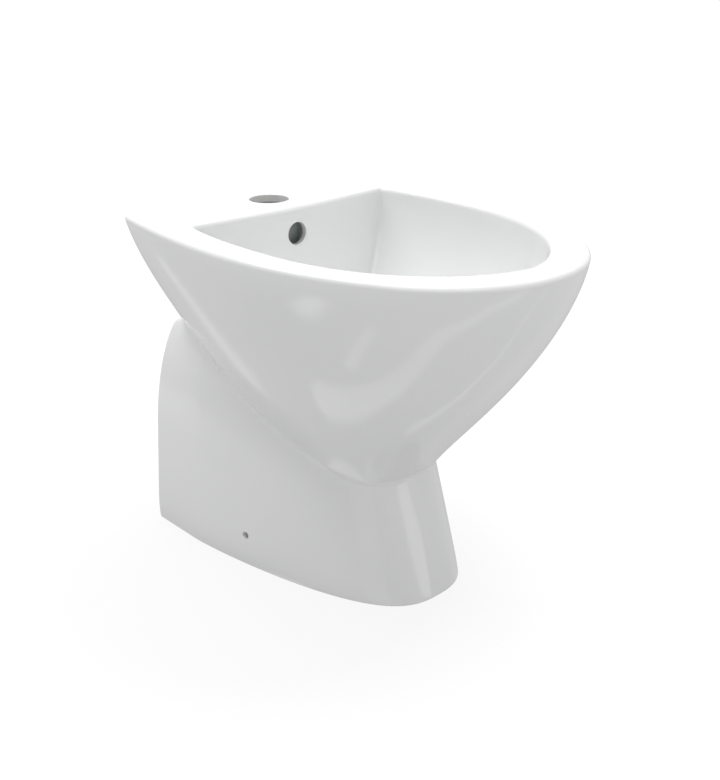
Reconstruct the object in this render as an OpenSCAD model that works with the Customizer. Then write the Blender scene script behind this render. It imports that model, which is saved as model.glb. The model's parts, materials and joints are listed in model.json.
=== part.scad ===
// Floor standing bidet: one-piece glazed china body with a push-open waste
// and a bottle trap held inside its hollow pedestal.
// Millimetres. +Z is up, the front is towards -Y, and the origin lies on the
// floor below the middle of the overall box.

/* [Overall size] */
// Overall width of the rim
body_w = 360; // [340:1:390]
// Overall length, front of the rim to the rear of the foot
body_l = 500; // [480:1:530]
// Height of the rim above the floor
body_h = 400; // [390:1:420]

/* [Rim and deck] */
// How far the rim's rear edge stands forward of the foot's
rim_back = 18; // [6:1:24]
// Distance of the widest station from the rim's rear edge
widest_from_rear = 197; // [185:1:210]
// Width of the rim at its rear corners
rim_rear_w = 320; // [300:1:330]
// Reach of the rounding of the rim's rear corners
rim_corner = 16; // [6:1:24]
// How far the middle of the rim's rear edge stands behind its corners
rear_bow = 14; // [4:1:18]
// Squareness of the plan outline, where 2 is an ellipse
rim_power = 2.09; // [2:0.01:2.3]
// Thickness of the rim and deck
rim_t = 14; // [12:0.5:18]
// Radius of the rim's outer edge
edge_r = 6; // [3:0.5:8]
// Thickness of the china walls
wall_t = 10; // [8:0.5:12]
// Height of the closed skirt below the deck at the rear
rear_lip_h = 58; // [40:1:80]

/* [Bowl] */
// Depth at which the bowl's underside is measured
bowl_depth = 260; // [250:1:275]
// How far the front draws in at that depth
front_draw = 181; // [174:1:188]
// Power of the front's curve
front_power = 1.53; // [1.45:0.01:1.6]
// How far each side draws in at that depth
side_draw = 115.5; // [110:0.5:122]
// Power of the side's curve
side_power = 1.48; // [1.4:0.01:1.6]
// How far each rear corner draws in at that depth
rear_draw = 167; // [160:1:172]
// Power of the rear corner's curve
rear_power = 1.26; // [1.2:0.01:1.35]
// Squareness of the plan outline at the bowl's keel
keel_power = 2.52; // [2.2:0.01:2.7]
// How much fuller the keel is than the walls above it would make it
keel_fill = 10.7; // [4:0.1:14]

/* [Pedestal] */
// Width of the foot between its straight sides
foot_w = 258; // [240:1:270]
// Length of the straight sides, from the rear face
foot_straight = 79; // [60:1:95]
// How far the front of the foot stands behind the rim's front
foot_set_back = 135; // [122:1:144]
// Power of the foot's plan curve along the length
foot_long_power = 1.33; // [1.2:0.01:1.6]
// Power of the foot's plan curve across the width
foot_cross_power = 2.8; // [2.4:0.05:3]
// Fall of that power from the floor to the shoulder
cross_power_fall = 0.65; // [0:0.05:1]
// How far the front of the foot draws in over its height
front_taper = 68; // [60:1:74]
// How far each side of the foot draws in over its height
side_taper = 20; // [12:1:26]
// Height of the pedestal's shoulder above the floor
shoulder_z = 266; // [258:1:272]
// Height of the rounding of the shoulder
shoulder_h = 135; // [110:1:150]
// Width of the rounding of the shoulder
shoulder_w = 35; // [30:1:42]
// Reach of the rounding of the foot's rear corners
foot_corner = 5; // [2:1:10]
// How far the sides tuck in at the floor
floor_tuck = 3; // [1:0.5:5]
// How far the rear of the shoulder stands forward of the rear face
shoulder_back = 14; // [8:1:20]
// Size of the fillet between bowl and pedestal
waist_blend = 8; // [5:1:16]

/* [Basin] */
// Width of the basin's opening
basin_w = 292; // [280:1:300]
// Distance from the front of the rim to the basin's opening
front_rim = 36; // [32:1:44]
// Distance from the rim's rear edge to the basin's opening
deck_l = 115; // [105:1:125]
// Distance of the basin's widest station from the rim's rear edge
basin_widest = 209; // [200:1:220]
// Width of the basin's opening at its rear corners
basin_rear_w = 270; // [260:1:276]
// How far the rear edge's middle stands forward of its corners
basin_bow = 5; // [0:0.5:8]
// Depth of the basin from the rim to the waste's seat
basin_depth = 155; // [145:1:165]

/* [Tap and overflow] */
// Diameter of the tap hole
tap_d = 45; // [34:0.5:48]
// Distance of the tap hole's axis from the rim's rear edge
tap_from_rear = 68; // [60:1:76]
// Diameter of the overflow hole
overflow_d = 25.5; // [18:0.5:28]
// Depth of the overflow hole's axis below the rim
overflow_drop = 31.5; // [28:0.5:36]
// Inside width of the overflow's duct
duct_w = 30; // [28:1:36]
// Inside depth of the overflow's duct
duct_t = 10; // [8:1:12]
// Wall of the overflow's duct
duct_wall = 6; // [5:0.5:7]

/* [Fixing holes] */
// Diameter of the floor fixing hole in each side
fixing_d = 9; // [7:0.5:11]
// Height of the fixing holes above the floor
fixing_z = 38; // [30:1:46]
// Distance of the fixing holes from the rear face
fixing_from_rear = 166; // [150:1:172]
// Diameter of the boss inside each fixing hole
boss_d = 34; // [26:1:40]
// Distance of the bosses' flat ends from the middle plane
boss_face_x = 98; // [94:1:102]

/* [Waste] */
// Distance of the waste's axis from the rim's rear edge
waste_from_rear = 221; // [212:1:230]
// Diameter of the waste hole in the china
waste_hole_d = 45; // [44:0.5:47]
// Length of the waste hole's collar
collar_l = 42; // [36:1:48]
// Diameter of the waste's visible flange
flange_d = 63; // [60:0.5:65]
// Thickness of the waste's flange at its edge
flange_t = 2.4; // [1.8:0.1:3.2]
// Thickness of the ring seal below the flange
flange_seal_t = 1.6; // [1:0.1:3]
// Outside diameter of the waste's threaded tail
tail_d = 41.4; // [40:0.1:42]
// Wall of the waste's tail
tail_wall = 2.6; // [2:0.1:3.2]
// Length of the waste below its flange
tail_l = 84; // [78:1:92]
// Pitch of the thread on the tail
thread_pitch = 2.3; // [1.8:0.1:3]
// Number of overflow slots in the tail
slot_count = 4; // [2:1:6]
// Width of each overflow slot
slot_w = 9; // [6:0.5:12]
// Height of each overflow slot
slot_h = 18; // [12:1:20]

/* [Push-open plug] */
// Diameter of the plug's cap
cap_d = 58; // [54:0.5:61]
// Height of the cap's dome
cap_dome = 4.5; // [3:0.5:6]
// Thickness of the cap at its edge
cap_edge = 2.2; // [1.6:0.1:3]
// Thickness of the seal below the cap
plug_seal_t = 1.8; // [1.2:0.1:2.5]
// Travel of the plug from open to closed
plug_travel = 8; // [6:0.1:9]
// Outside diameter of the click cartridge
cartridge_d = 15; // [14:0.5:17]
// Length of the click cartridge
cartridge_l = 38; // [34:1:42]
// Diameter of the plunger's stem
stem_d = 7; // [6:0.25:8]
// Wire diameter of the return spring
spring_wire = 0.9; // [0.7:0.1:1]
// Number of turns of the return spring
spring_turns = 7; // [5:1:9]

/* [Nuts and washers] */
// Height of the cone washer below the collar
cone_h = 11; // [9:0.5:14]
// Thickness of the slip washer
slip_t = 1.5; // [1:0.1:2.5]
// Height of the waste's back nut
back_nut_h = 11; // [9:0.5:13]
// Outside diameter of the back nut
back_nut_d = 62; // [58:0.5:66]

/* [Bottle trap] */
// Outside diameter of the trap's pipes
pipe_d = 32; // [31:0.5:34]
// Wall of the trap's pipes
pipe_wall = 1.6; // [1.2:0.1:2.2]
// Outside diameter of the bottle
bottle_d = 66; // [62:1:72]
// Height of the cup's underside above the floor
cup_z = 26; // [20:1:32]
// Space between the waste's union nut and the bottle's nut
union_gap = 4.6; // [2:0.1:8]
// Height of the screw-off cup, as a share of the bottle's and cup's height
cup_share = 0.3; // [0.26:0.01:0.34]
// Distance of the outlet spigot's top below the bottle's shoulder
outlet_drop = 3; // [2:0.5:6]
// Height of the dip tube's end above the cup's underside, as such a share
dip_share = 0.33; // [0.3:0.01:0.38]
// Outside diameter of the cup
cup_d = 74; // [72:1:80]
// Wall of the bottle and its cup
bottle_wall = 2.6; // [2:0.1:3.2]
// Height of the union nuts
union_h = 20; // [18:0.5:24]
// Thickness of the flat seals in the trap
trap_seal_t = 3; // [2:0.25:4]

/* [Fits] */
// Radial clearance where one piece slides into another
fit_gap = 0.2; // [0.15:0.05:0.3]
// Radial clearance of the plunger in the cartridge
slide_gap = 0.08; // [0.05:0.01:0.1]

/* [Colours] */
// Colour of the glazed china
china_colour = "white"; // [white, ivory]
// Colour of the plated metal
metal_colour = "lightgray"; // [lightgray, silver]

/* [Hidden] */

$fn = 64;

// Stations along the length
rear_y = body_l / 2;
front_y = -body_l / 2;
rim_rear_y = rear_y - rim_back;
axis_y = rim_rear_y - widest_from_rear;
foot_axis_y = rear_y - foot_straight;
rim_half = body_w / 2;
rim_rear_half = rim_rear_w / 2;
waste_y = rim_rear_y - waste_from_rear;
tap_y = rim_rear_y - tap_from_rear;
fixing_y = rear_y - fixing_from_rear;
basin_axis_y = rim_rear_y - basin_widest;
basin_rear_y = rim_rear_y - deck_l;
basin_front_y = front_y + front_rim;

// Levels of the waste, from the basin's floor down
seat_z = body_h - basin_depth;
collar_z = seat_z - collar_l;
flange_under_z = seat_z + flange_seal_t;
flange_top_z = flange_under_z + flange_t;
tail_z = flange_under_z - tail_l;
tail_r = tail_d / 2;
tail_in_r = tail_r - tail_wall;
tail_fit_r = tail_r + fit_gap;
flange_r = flange_d / 2;
slot_z = seat_z - collar_l / 2;
chamber_h = slot_h + 2;
chamber_r = waste_hole_d / 2 + 6;
cone_z = collar_z - cone_h;
slip_z = cone_z - slip_t;
back_nut_z = slip_z - back_nut_h;

// The plug and its cartridge, drawn open
closed_gap = 0.2;
stop_gap = 0.3;
stem_r = stem_d / 2;
cap_under_z = flange_top_z + plug_travel + plug_seal_t + closed_gap;
cap_step_r = 22;
cap_boss_h = 4;
cartridge_top_z = flange_top_z - 4;
cartridge_lip_t = 3;
cartridge_lip_r = cartridge_d / 2 + 2;
cartridge_low_z = cartridge_top_z - cartridge_l;
cartridge_wall = 1.4;
chamber_top_z = cartridge_top_z - 4;
chamber_low_z = cartridge_low_z + 2.5;
spring_space_r = cartridge_d / 2 - cartridge_wall;
piston_t = 4;
piston_z = chamber_top_z - stop_gap - piston_t;
bridge_h = 9;
bridge_z = cartridge_top_z - cartridge_lip_t - bridge_h;

// Levels of the bottle trap, from the waste's tail down
pipe_r = pipe_d / 2;
pipe_fit_r = pipe_r + fit_gap;
collar_t = 3;
dip_top_z = tail_z - trap_seal_t;
union_lip_t = 3;
union_z = dip_top_z - collar_t - union_lip_t;
bottle_r = bottle_d / 2;
neck_r = pipe_r + 5;
neck_h = 15;
neck_z = union_z - union_gap - union_lip_t - trap_seal_t;
bottle_top = neck_z - neck_h;
trap_h = bottle_top - cup_z;
cup_h = cup_share * trap_h;
outlet_z = bottle_top - neck_r - outlet_drop;
dip_end_z = cup_z + dip_share * trap_h;
bottle_low_z = cup_z + cup_h - 8;
ledge_z = bottle_low_z - trap_seal_t;
cup_r = cup_d / 2;
spigot_l = 26;
spigot_y = waste_y + bottle_r + spigot_l;
spigot_stop_y = waste_y + bottle_r + 3;
pipe_end_r = pipe_r - 0.4;

// ---------------------------------------------------------------------------
// Plan sections of the shell, as polar curves about the widest station
// ---------------------------------------------------------------------------

// A bowl section is [side, front reach, power, rear half width, rear reach]
function bow_at(x) = rear_bow * pow(x / rim_rear_half, 2);

// Draw-in of the bowl at depth h, counted from the foot of the rounded edge
function draw_in(h, draw, power) =
    draw * (pow(h / bowl_depth, power) - pow(edge_r / bowl_depth, power));

// Below its keel the bowl lies inside the pedestal and keeps its section
keel_h = bowl_depth + 30;

function fullness(h) = keel_fill * pow(h / bowl_depth, 8);

function bowl_section(depth) =
    let (h = min(depth, keel_h))
    let (xr = max(rim_rear_half - draw_in(h, rear_draw, rear_power), 8))
    [
        rim_half - draw_in(h, side_draw, side_power) + fullness(h),
        axis_y - front_y - draw_in(h, front_draw, front_power) + fullness(h),
        rim_power + (keel_power - rim_power) * pow(h / bowl_depth, 2),
        xr,
        widest_from_rear - bow_at(xr)
    ];

// Rounding of the pedestal's shoulder, from 1 at its top to 0 below it
function shoulder_at(z) =
    let (g = max(0, min(1, (shoulder_z - z) / shoulder_h)))
    1 - sqrt(max(0, 1 - pow(1 - g, 2)));

// A foot section is [half width, reach of the front from the straight sides, power]
function foot_section(z) =
    let (u = z / shoulder_z)
    [
        foot_w / 2 - floor_tuck * exp(-z / 12) - side_taper * u - shoulder_w * shoulder_at(z),
        foot_axis_y - front_y - foot_set_back - front_taper * u,
        foot_cross_power - cross_power_fall * u
    ];

// Radius of a section at angle t, measured from the front
function front_radius(s, t) =
    pow(pow(sin(t) / s[0], s[2]) + pow(max(cos(t), 0) / s[1], s[2]), -1 / s[2]);

function rear_radius(s, t) =
    let (q = (s[0] - s[3]) * pow(cos(t) / s[4], 2))
    abs(q) < 1e-7 ? s[0] / sin(t)
                  : (sqrt(pow(sin(t), 2) + 4 * s[0] * q) - sin(t)) / (2 * q);

function bowl_radius(s, t) = t <= 90 ? front_radius(s, t) : rear_radius(s, t);

// Whether the point at radius r and angle t lies outside a foot section
function off_foot(s, t, r) =
    let (ahead = max(0, foot_axis_y - axis_y + r * cos(t)))
    pow(r * sin(t) / s[0], s[2]) + pow(ahead / s[1], foot_long_power) > 1;

// Radius of a foot section at angle t, found by halving the span n times
function foot_radius(s, t, low = 0, high = body_l, n = 18) =
    let (mid = (low + high) / 2)
    n == 0 ? mid
           : off_foot(s, t, mid) ? foot_radius(s, t, low, mid, n - 1)
                                 : foot_radius(s, t, mid, high, n - 1);

// The larger of two values, with a rounded change between them
function blend_max(p, q, k) = max(p, q) + pow(max(k - abs(p - q), 0), 2) / (4 * k);

function has_foot(z) = z < shoulder_z;

function shell_radius(t, z) =
    let (b = bowl_radius(bowl_section(body_h - z), t))
    has_foot(z) ? blend_max(b, foot_radius(foot_section(z), t), waist_blend) : b;

function shell_corner(z) =
    let (b = bowl_section(body_h - z)[3])
    has_foot(z) ? blend_max(b, foot_section(z)[0], waist_blend) : b;

// Share of the bowl in the rear edge: it is bowed there, and straight at the foot
function bowl_share(z) =
    let (lead = bowl_section(body_h - z)[3] - foot_section(z)[0])
    has_foot(z) ? max(0, min(1, 0.5 + lead / waist_blend / 2)) : 1;

// Reach of the rear edge at half width x
function rear_reach(x, z) =
    let (share = bowl_share(z))
    share * (widest_from_rear - bow_at(x))
    + (1 - share) * (rear_y - axis_y - shoulder_back * shoulder_at(z));

// Inset of the rounded top edge at height z
function edge_inset(z) =
    let (d = body_h - z)
    d < edge_r ? edge_r - sqrt(pow(edge_r, 2) - pow(edge_r - d, 2)) : 0;

// A point between p and r on the curve that rounds the corner q
function rounded(p, q, r, t) = pow(1 - t, 2) * p + 2 * t * (1 - t) * q + pow(t, 2) * r;

// Reach of the rounding of the rear corners at height z
function corner_reach(z) = foot_corner + (rim_corner - foot_corner) * bowl_share(z);

function flank_point(t, z, inset) =
    let (r = shell_radius(t, z) - inset)
    [r * sin(t), axis_y - r * cos(t)];

function rear_point(x, z, back) = [x, axis_y + rear_reach(x, z) + back];

// One ring of the shell, drawn in by inset, with its rear edge moved by back
function shell_ring(z, inset, back, front_n, rear_n, edge_n) =
    let (xc = shell_corner(z) - inset, turn = corner_reach(z))
    let (corner = rear_point(xc, z, back))
    let (after = rear_point(xc - turn, z, back))
    let (tc = 90 + atan2(corner[1] - axis_y - turn, xc))
    let (before = flank_point(tc, z, inset))
    let (half = concat(
        [for (i = [0:front_n - 1]) flank_point(i * 90 / front_n, z, inset)],
        [for (i = [0:rear_n - 1]) flank_point(90 + i * (tc - 90) / rear_n, z, inset)],
        [for (k = [0:3]) rounded(before, corner, after, k / 3)]
    ))
    let (n = len(half))
    concat(
        [for (p = half) [p[0], p[1], z]],
        [for (i = [1:edge_n - 1])
            let (p = rear_point(after[0] * (1 - 2 * i / edge_n), z, back))
            [p[0], p[1], z]],
        [for (i = [n - 1:-1:1]) [-half[i][0], half[i][1], z]]
    );

// A closed solid through rings that have the same number of points
module loft(rings) {
    n = len(rings[0]);
    m = len(rings);
    points = [for (ring = rings) each ring];
    sides = [
        for (j = [0:m - 2])
        for (i = [0:n - 1])
        let (a = j * n + i, b = j * n + (i + 1) % n)
        each [[a, b + n, a + n], [a, b, b + n]]
    ];
    upper = [for (i = [n - 1:-1:0]) i];
    lower = [for (i = [0:n - 1]) (m - 1) * n + i];
    polyhedron(points, concat(sides, [upper, lower]), convexity = 8);
}

// ---------------------------------------------------------------------------
// Ceramic body
// ---------------------------------------------------------------------------

// Drops below the rim at which the outer skin has a ring
edge_drops = [0, 0.08, 0.3, 0.62, 1];
above_waist = body_h - edge_r - shoulder_z;
outer_levels = concat(
    [for (d = edge_drops) body_h - edge_r * d],
    [for (k = [1:8]) body_h - edge_r - k * above_waist / 8],
    [for (k = [1:14]) shoulder_z - k * shoulder_z * 0.041],
    [for (k = [1:4]) shoulder_z * (0.426 - k * 0.08)],
    [14, 5, 0]
);

below_lip = body_h - rear_lip_h - shoulder_z;
hollow_levels = concat(
    [body_h - rim_t, body_h - rear_lip_h, body_h - rear_lip_h - 1],
    [for (k = [1:3]) body_h - rear_lip_h - k * below_lip / 3],
    [for (k = [1:6]) shoulder_z * (1 - k * 0.09)],
    [shoulder_z * 0.2, -2]
);

module outer_skin() {
    loft([for (z = outer_levels)
        shell_ring(z, edge_inset(z), -edge_inset(z), 17, 8, 6)]);
}

// The hollow between the skins is open at the floor and below the rear skirt
module shell_hollow() {
    open_back = rear_bow + rim_back;
    loft([for (z = hollow_levels)
        shell_ring(z, wall_t, z < body_h - rear_lip_h ? open_back : -wall_t, 12, 5, 4)]);
}

// Opening of the basin
basin_half = basin_w / 2;
basin_rear_half = basin_rear_w / 2;
basin_reach = basin_axis_y - basin_front_y;
basin_back = basin_rear_y + basin_bow - basin_axis_y;

// A point of the front stretch, from the front at 0 to the widest station at 1
function opening_front(share) =
    let (t = cos(share * 90))
    [
        basin_half * pow(max(0, 1 - pow(t, 2.6)), 1 / 1.64),
        basin_axis_y - basin_reach * t
    ];

// A point of the side, from the widest station at 0 to the corner at 1 and on past it
function opening_side(t) =
    [
        basin_half - (basin_half - basin_rear_half) * pow(t, 2.3),
        basin_axis_y + basin_back * t
    ];

function opening_rear(x) = [x, basin_rear_y + basin_bow * pow(x / basin_rear_half, 2)];

// Half width at which the rear edge is crossed by the line v from the waste's axis
function rear_crossing(v) =
    let (slant = v[0] / v[1], run = (basin_rear_y - waste_y) * slant)
    let (bend = basin_bow * slant / pow(basin_rear_half, 2))
    bend < 1e-6 ? run : (1 - sqrt(max(0, 1 - 4 * bend * run))) / (2 * bend);

// Powers of the walls' curves: the rear wall is the steeper
side_wall_power = 2.1;
rear_wall_power = 4.5;
wall_depth_power = 2.2;

// Share of the opening left at a fraction d of the depth
function wall_share(d, power) = pow(max(0, 1 - pow(d, wall_depth_power)), 1 / power);

seat_r = flange_d / 2 + 3;

// How far the side wall, carried on to t at depth d, lies beyond the rear wall
function past_rear(t, d) =
    let (v = opening_side(t) - [0, waste_y])
    let (w = opening_rear(rear_crossing(v)) - [0, waste_y])
    (norm(v) - seat_r) * wall_share(d, side_wall_power)
    - (norm(w) - seat_r) * wall_share(d, rear_wall_power);

// Station of the corner between side and rear wall, found by halving
function corner_station(d, low, high, n) =
    let (mid = (low + high) / 2)
    n == 0 ? mid
    : past_rear(mid, d) > 0 ? corner_station(d, low, mid, n - 1)
    : corner_station(d, mid, high, n - 1);

// A point of the opening drawn in towards the waste's axis, and grown outwards
function drawn_in(p, share, grow) =
    let (v = p - [0, waste_y])
    let (r = seat_r + grow + (norm(v) - seat_r) * share)
    [0, waste_y] + v / norm(v) * r;

// A ring of the basin, grown outwards by grow
function basin_ring(d, grow, drop) =
    let (corner = corner_station(min(d, 0.98), 0.9, 2.6, 16))
    let (edge = rear_crossing(opening_side(corner) - [0, waste_y]))
    let (side = wall_share(d, side_wall_power), rear = wall_share(d, rear_wall_power))
    let (half = concat(
        [for (i = [0:12]) drawn_in(opening_front(i / 13), side, grow)],
        [for (i = [0:5]) drawn_in(opening_side(corner * i / 6), side, grow)],
        [for (i = [0:4]) drawn_in(opening_rear(edge * (1 - i / 4)), rear, grow)]
    ))
    let (n = len(half))
    [
        for (p = concat(half, [for (i = [n - 2:-1:1]) [-half[i][0], half[i][1]]]))
        [p[0], p[1], body_h - d * (basin_depth + drop)]
    ];

basin_steps = [0.15, 0.32, 0.5, 0.66, 0.8, 0.9, 0.965, 1];

module basin_space() {
    loft(concat(
        [[for (q = basin_ring(0, 1.5, 0)) [q[0], q[1], body_h + 1]]],
        [basin_ring(0.012, 0, 0)],
        [for (d = basin_steps) basin_ring(d, 0, 0)]
    ));
}

module basin_skin() {
    loft(concat([basin_ring(0, wall_t, wall_t)], [for (d = basin_steps) basin_ring(d, wall_t, wall_t)]));
}

// A length of the overflow's duct between two stations, grown outwards by grow
duct_y = basin_rear_y + duct_wall + 1;
duct_low_z = slot_z;

module duct(grow) {
    half = duct_w / 2 + grow;
    deep = duct_t + 2 * grow;
    top = body_h - overflow_drop + overflow_d / 2 + 2;
    hull() {
        translate([-half, duct_y - grow, top - 1])
            cube([2 * half, deep, 1 + grow]);
        translate([-half, duct_y - grow, duct_low_z - chamber_h / 2 - grow])
            cube([2 * half, deep, chamber_h + 2 * grow]);
    }
    hull() {
        translate([-half, duct_y - grow, duct_low_z - chamber_h / 2 - grow])
            cube([2 * half, deep, chamber_h + 2 * grow]);
        translate([-half, waste_y + 10, duct_low_z - chamber_h / 2 - grow])
            cube([2 * half, 5, chamber_h + 2 * grow]);
    }
}

module fixing_bosses() {
    for (side = [-1, 1])
        translate([side * boss_face_x, fixing_y, fixing_z])
            rotate([0, side * 90, 0])
                cylinder(d = boss_d, h = 60, $fn = 32);
}

// The collar that the waste is clamped to, below the basin's floor
module waste_collar() {
    translate([0, waste_y, collar_z])
        cylinder(r = chamber_r + 7, h = collar_l, $fn = 48);
}

pilot_margin = 4;

module china_form() {
    difference() {
        outer_skin();
        basin_space();
        difference() {
            shell_hollow();
            basin_skin();
            duct(duct_wall);
            fixing_bosses();
            waste_collar();
        }
        duct(0);
        translate([0, waste_y, slot_z - chamber_h / 2])
            cylinder(r = chamber_r, h = chamber_h, $fn = 48);
        // Pilots that open the duct before the true bores are cut
        translate([0, basin_rear_y - 6, body_h - overflow_drop])
            rotate([-90, 0, 0])
                cylinder(d = overflow_d - pilot_margin, h = wall_t + 10, $fn = 12);
        translate([0, waste_y, collar_z - 3])
            cylinder(d = waste_hole_d - pilot_margin, h = collar_l + 6, $fn = 12);
    }
}

module ceramic_body() {
    color(china_colour)
    difference() {
        resize([0, 0, body_h]) china_form();
        // Tap hole
        translate([0, tap_y, body_h - rim_t - 3])
            cylinder(d = tap_d, h = rim_t + 6);
        // Overflow hole
        translate([0, basin_rear_y - 6, body_h - overflow_drop])
            rotate([-90, 0, 0])
                cylinder(d = overflow_d, h = wall_t + 10);
        // Waste hole
        translate([0, waste_y, collar_z - 3])
            cylinder(d = waste_hole_d, h = collar_l + 6);
        // Floor fixing holes
        for (side = [-1, 1])
            translate([side * (boss_face_x - 4), fixing_y, fixing_z])
                rotate([0, side * 90, 0])
                    cylinder(d = fixing_d, h = 60);
    }
}

// ---------------------------------------------------------------------------
// Waste
// ---------------------------------------------------------------------------

// A washer from height z, h tall
module washer(z, h, r_in, r_out) {
    translate([0, 0, z])
        difference() {
            cylinder(r = r_out, h = h);
            translate([0, 0, -1])
                cylinder(r = r_in, h = h + 2);
        }
}

module on_waste_axis() {
    translate([0, waste_y, 0]) children();
}

// Outline of the tail's thread, from its lower end up
thread_depth = 0.9;
thread_top_z = slot_z - slot_h / 2 - 3;
thread_count = floor((thread_top_z - tail_z) / thread_pitch);

function thread_points() = [
    for (k = [0:thread_count - 1])
    let (z = tail_z + k * thread_pitch)
    each [[tail_r - thread_depth, z], [tail_r, z + thread_pitch / 2]]
];

module waste_body() {
    color(metal_colour)
    on_waste_axis()
    difference() {
        union() {
            rotate_extrude()
                polygon(concat(
                    [[tail_in_r, tail_z]],
                    thread_points(),
                    [
                        [tail_r, thread_top_z + 1],
                        [tail_r, flange_under_z],
                        [flange_r, flange_under_z],
                        [flange_r, flange_under_z + flange_t / 2],
                        [flange_r - 1, flange_under_z + flange_t * 0.85],
                        [flange_r - 3, flange_top_z],
                        [tail_in_r + 3, flange_top_z],
                        [tail_in_r + 0.8, flange_top_z - 1.4],
                        [tail_in_r, flange_top_z - 4]
                    ]
                ));
            bridge();
        }
        for (k = [0:slot_count - 1])
            rotate([0, 0, (k + 0.5) * 360 / slot_count])
                translate([tail_in_r - 1, -slot_w / 2, slot_z - slot_h / 2])
                    cube([tail_wall + 3, slot_w, slot_h]);
    }
}

// Boss on three arms that holds the cartridge in the waste's bore
module bridge() {
    boss_r = cartridge_d / 2 + fit_gap + 2.4;
    arm_t = 2.6;
    washer(bridge_z, bridge_h, cartridge_d / 2 + fit_gap, boss_r);
    for (k = [0:2])
        rotate([0, 0, 30 + k * 120])
            translate([boss_r - 0.6, -arm_t / 2, bridge_z + 1])
                cube([tail_in_r - boss_r + 1.2, arm_t, bridge_h - 2]);
}

module flange_seal() {
    color("dimgray")
    on_waste_axis()
        washer(seat_z, flange_seal_t, tail_fit_r, flange_r - 0.6);
}

module cone_washer() {
    color("dimgray")
    on_waste_axis()
    rotate_extrude()
        polygon([
            [tail_fit_r, cone_z],
            [back_nut_d / 2 - 1, cone_z],
            [back_nut_d / 2 - 1, cone_z + cone_h * 0.3],
            [waste_hole_d / 2 + 3, collar_z],
            [tail_fit_r, collar_z]
        ]);
}

module slip_washer() {
    color("whitesmoke")
    on_waste_axis()
        washer(slip_z, slip_t, tail_fit_r, back_nut_d / 2 - 1);
}

module back_nut() {
    lugs = 8;
    lug_r = 4.5;
    color(metal_colour)
    on_waste_axis()
    translate([0, 0, back_nut_z])
        linear_extrude(back_nut_h)
            difference() {
                union() {
                    circle(r = back_nut_d / 2 - lug_r);
                    for (k = [0:lugs - 1])
                        rotate([0, 0, k * 360 / lugs])
                            translate([back_nut_d / 2 - lug_r, 0])
                                circle(r = lug_r, $fn = 24);
                }
                circle(r = tail_fit_r);
            }
}

// ---------------------------------------------------------------------------
// Push-open plug
// ---------------------------------------------------------------------------

module click_cartridge() {
    r = cartridge_d / 2;
    color("silver")
    on_waste_axis()
    rotate_extrude()
        polygon([
            [stem_r + slide_gap, cartridge_top_z],
            [stem_r + slide_gap, chamber_top_z],
            [spring_space_r, chamber_top_z],
            [spring_space_r, chamber_low_z],
            [1.5, chamber_low_z],
            [1.5, cartridge_low_z],
            [r - 1, cartridge_low_z],
            [r, cartridge_low_z + 1],
            [r, cartridge_top_z - cartridge_lip_t],
            [cartridge_lip_r, cartridge_top_z - cartridge_lip_t],
            [cartridge_lip_r, cartridge_top_z - 0.6],
            [cartridge_lip_r - 0.6, cartridge_top_z]
        ]);
}

module click_plunger() {
    piston_r = spring_space_r - 0.3;
    color("silver")
    on_waste_axis()
    rotate_extrude()
        polygon([
            [0, piston_z],
            [piston_r, piston_z],
            [piston_r, piston_z + piston_t],
            [stem_r, piston_z + piston_t],
            [stem_r, cap_under_z - 0.5],
            [stem_r - 0.5, cap_under_z],
            [0, cap_under_z]
        ]);
}

// The spring is one wire of round section that rises by a steady pitch
spring_r = spring_space_r - spring_wire / 2 - 0.25;
spring_steps = 8;
spring_sides = 6;

module click_spring() {
    low = chamber_low_z + spring_wire / 2 + 0.05;
    high = piston_z - spring_wire / 2 - 0.05;
    count = spring_turns * spring_steps;
    rings = [
        for (i = [0:count])
        let (a = i * 360 / spring_steps, z = low + (high - low) * i / count)
        [for (k = [0:spring_sides - 1])
            let (b = k * 360 / spring_sides)
            let (r = spring_r + spring_wire / 2 * cos(b))
            [r * cos(a), r * sin(a), z + spring_wire / 2 * sin(b)]]
    ];
    color("gray")
    on_waste_axis()
        loft(rings);
}

module plug_cap() {
    cap_r = cap_d / 2;
    step_t = plug_seal_t - closed_gap;
    dome = [for (k = [0:8])
        let (t = k / 8)
        [cap_r * (1 - t), cap_under_z + cap_edge + cap_dome * (1 - pow(1 - t, 2.2))]];
    color(metal_colour)
    on_waste_axis()
    rotate_extrude()
        polygon(concat(
            [
                [stem_r + 0.05, cap_under_z + 0.05],
                [stem_r + 0.05, cap_under_z - cap_boss_h],
                [stem_r + 3, cap_under_z - cap_boss_h],
                [stem_r + 3, cap_under_z - step_t],
                [cap_step_r, cap_under_z - step_t],
                [cap_step_r, cap_under_z],
                [cap_r - 0.8, cap_under_z],
                [cap_r, cap_under_z + 0.8]
            ],
            dome,
            [[0, cap_under_z + 0.05]]
        ));
}

module plug_seal() {
    color("dimgray")
    on_waste_axis()
        washer(cap_under_z - plug_seal_t, plug_seal_t, cap_step_r + 0.1, cap_step_r + 5);
}

// ---------------------------------------------------------------------------
// Bottle trap
// ---------------------------------------------------------------------------

// A union nut from height 0: its lip is below and its threaded bore is above
module union_nut(bore_r, pass_r, lip_t) {
    ribs = 12;
    r = bore_r + 4;
    difference() {
        linear_extrude(union_h)
            union() {
                circle(r = r);
                for (k = [0:ribs - 1])
                    rotate([0, 0, k * 360 / ribs])
                        translate([r - 1, -1.5])
                            square([2.6, 3]);
            }
        translate([0, 0, lip_t])
            cylinder(r = bore_r, h = union_h);
        translate([0, 0, -1])
            cylinder(r = pass_r, h = lip_t + 2);
    }
}

module waste_union_nut() {
    color(metal_colour)
    on_waste_axis()
    translate([0, 0, union_z])
        union_nut(tail_fit_r, pipe_fit_r, union_lip_t);
}

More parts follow.
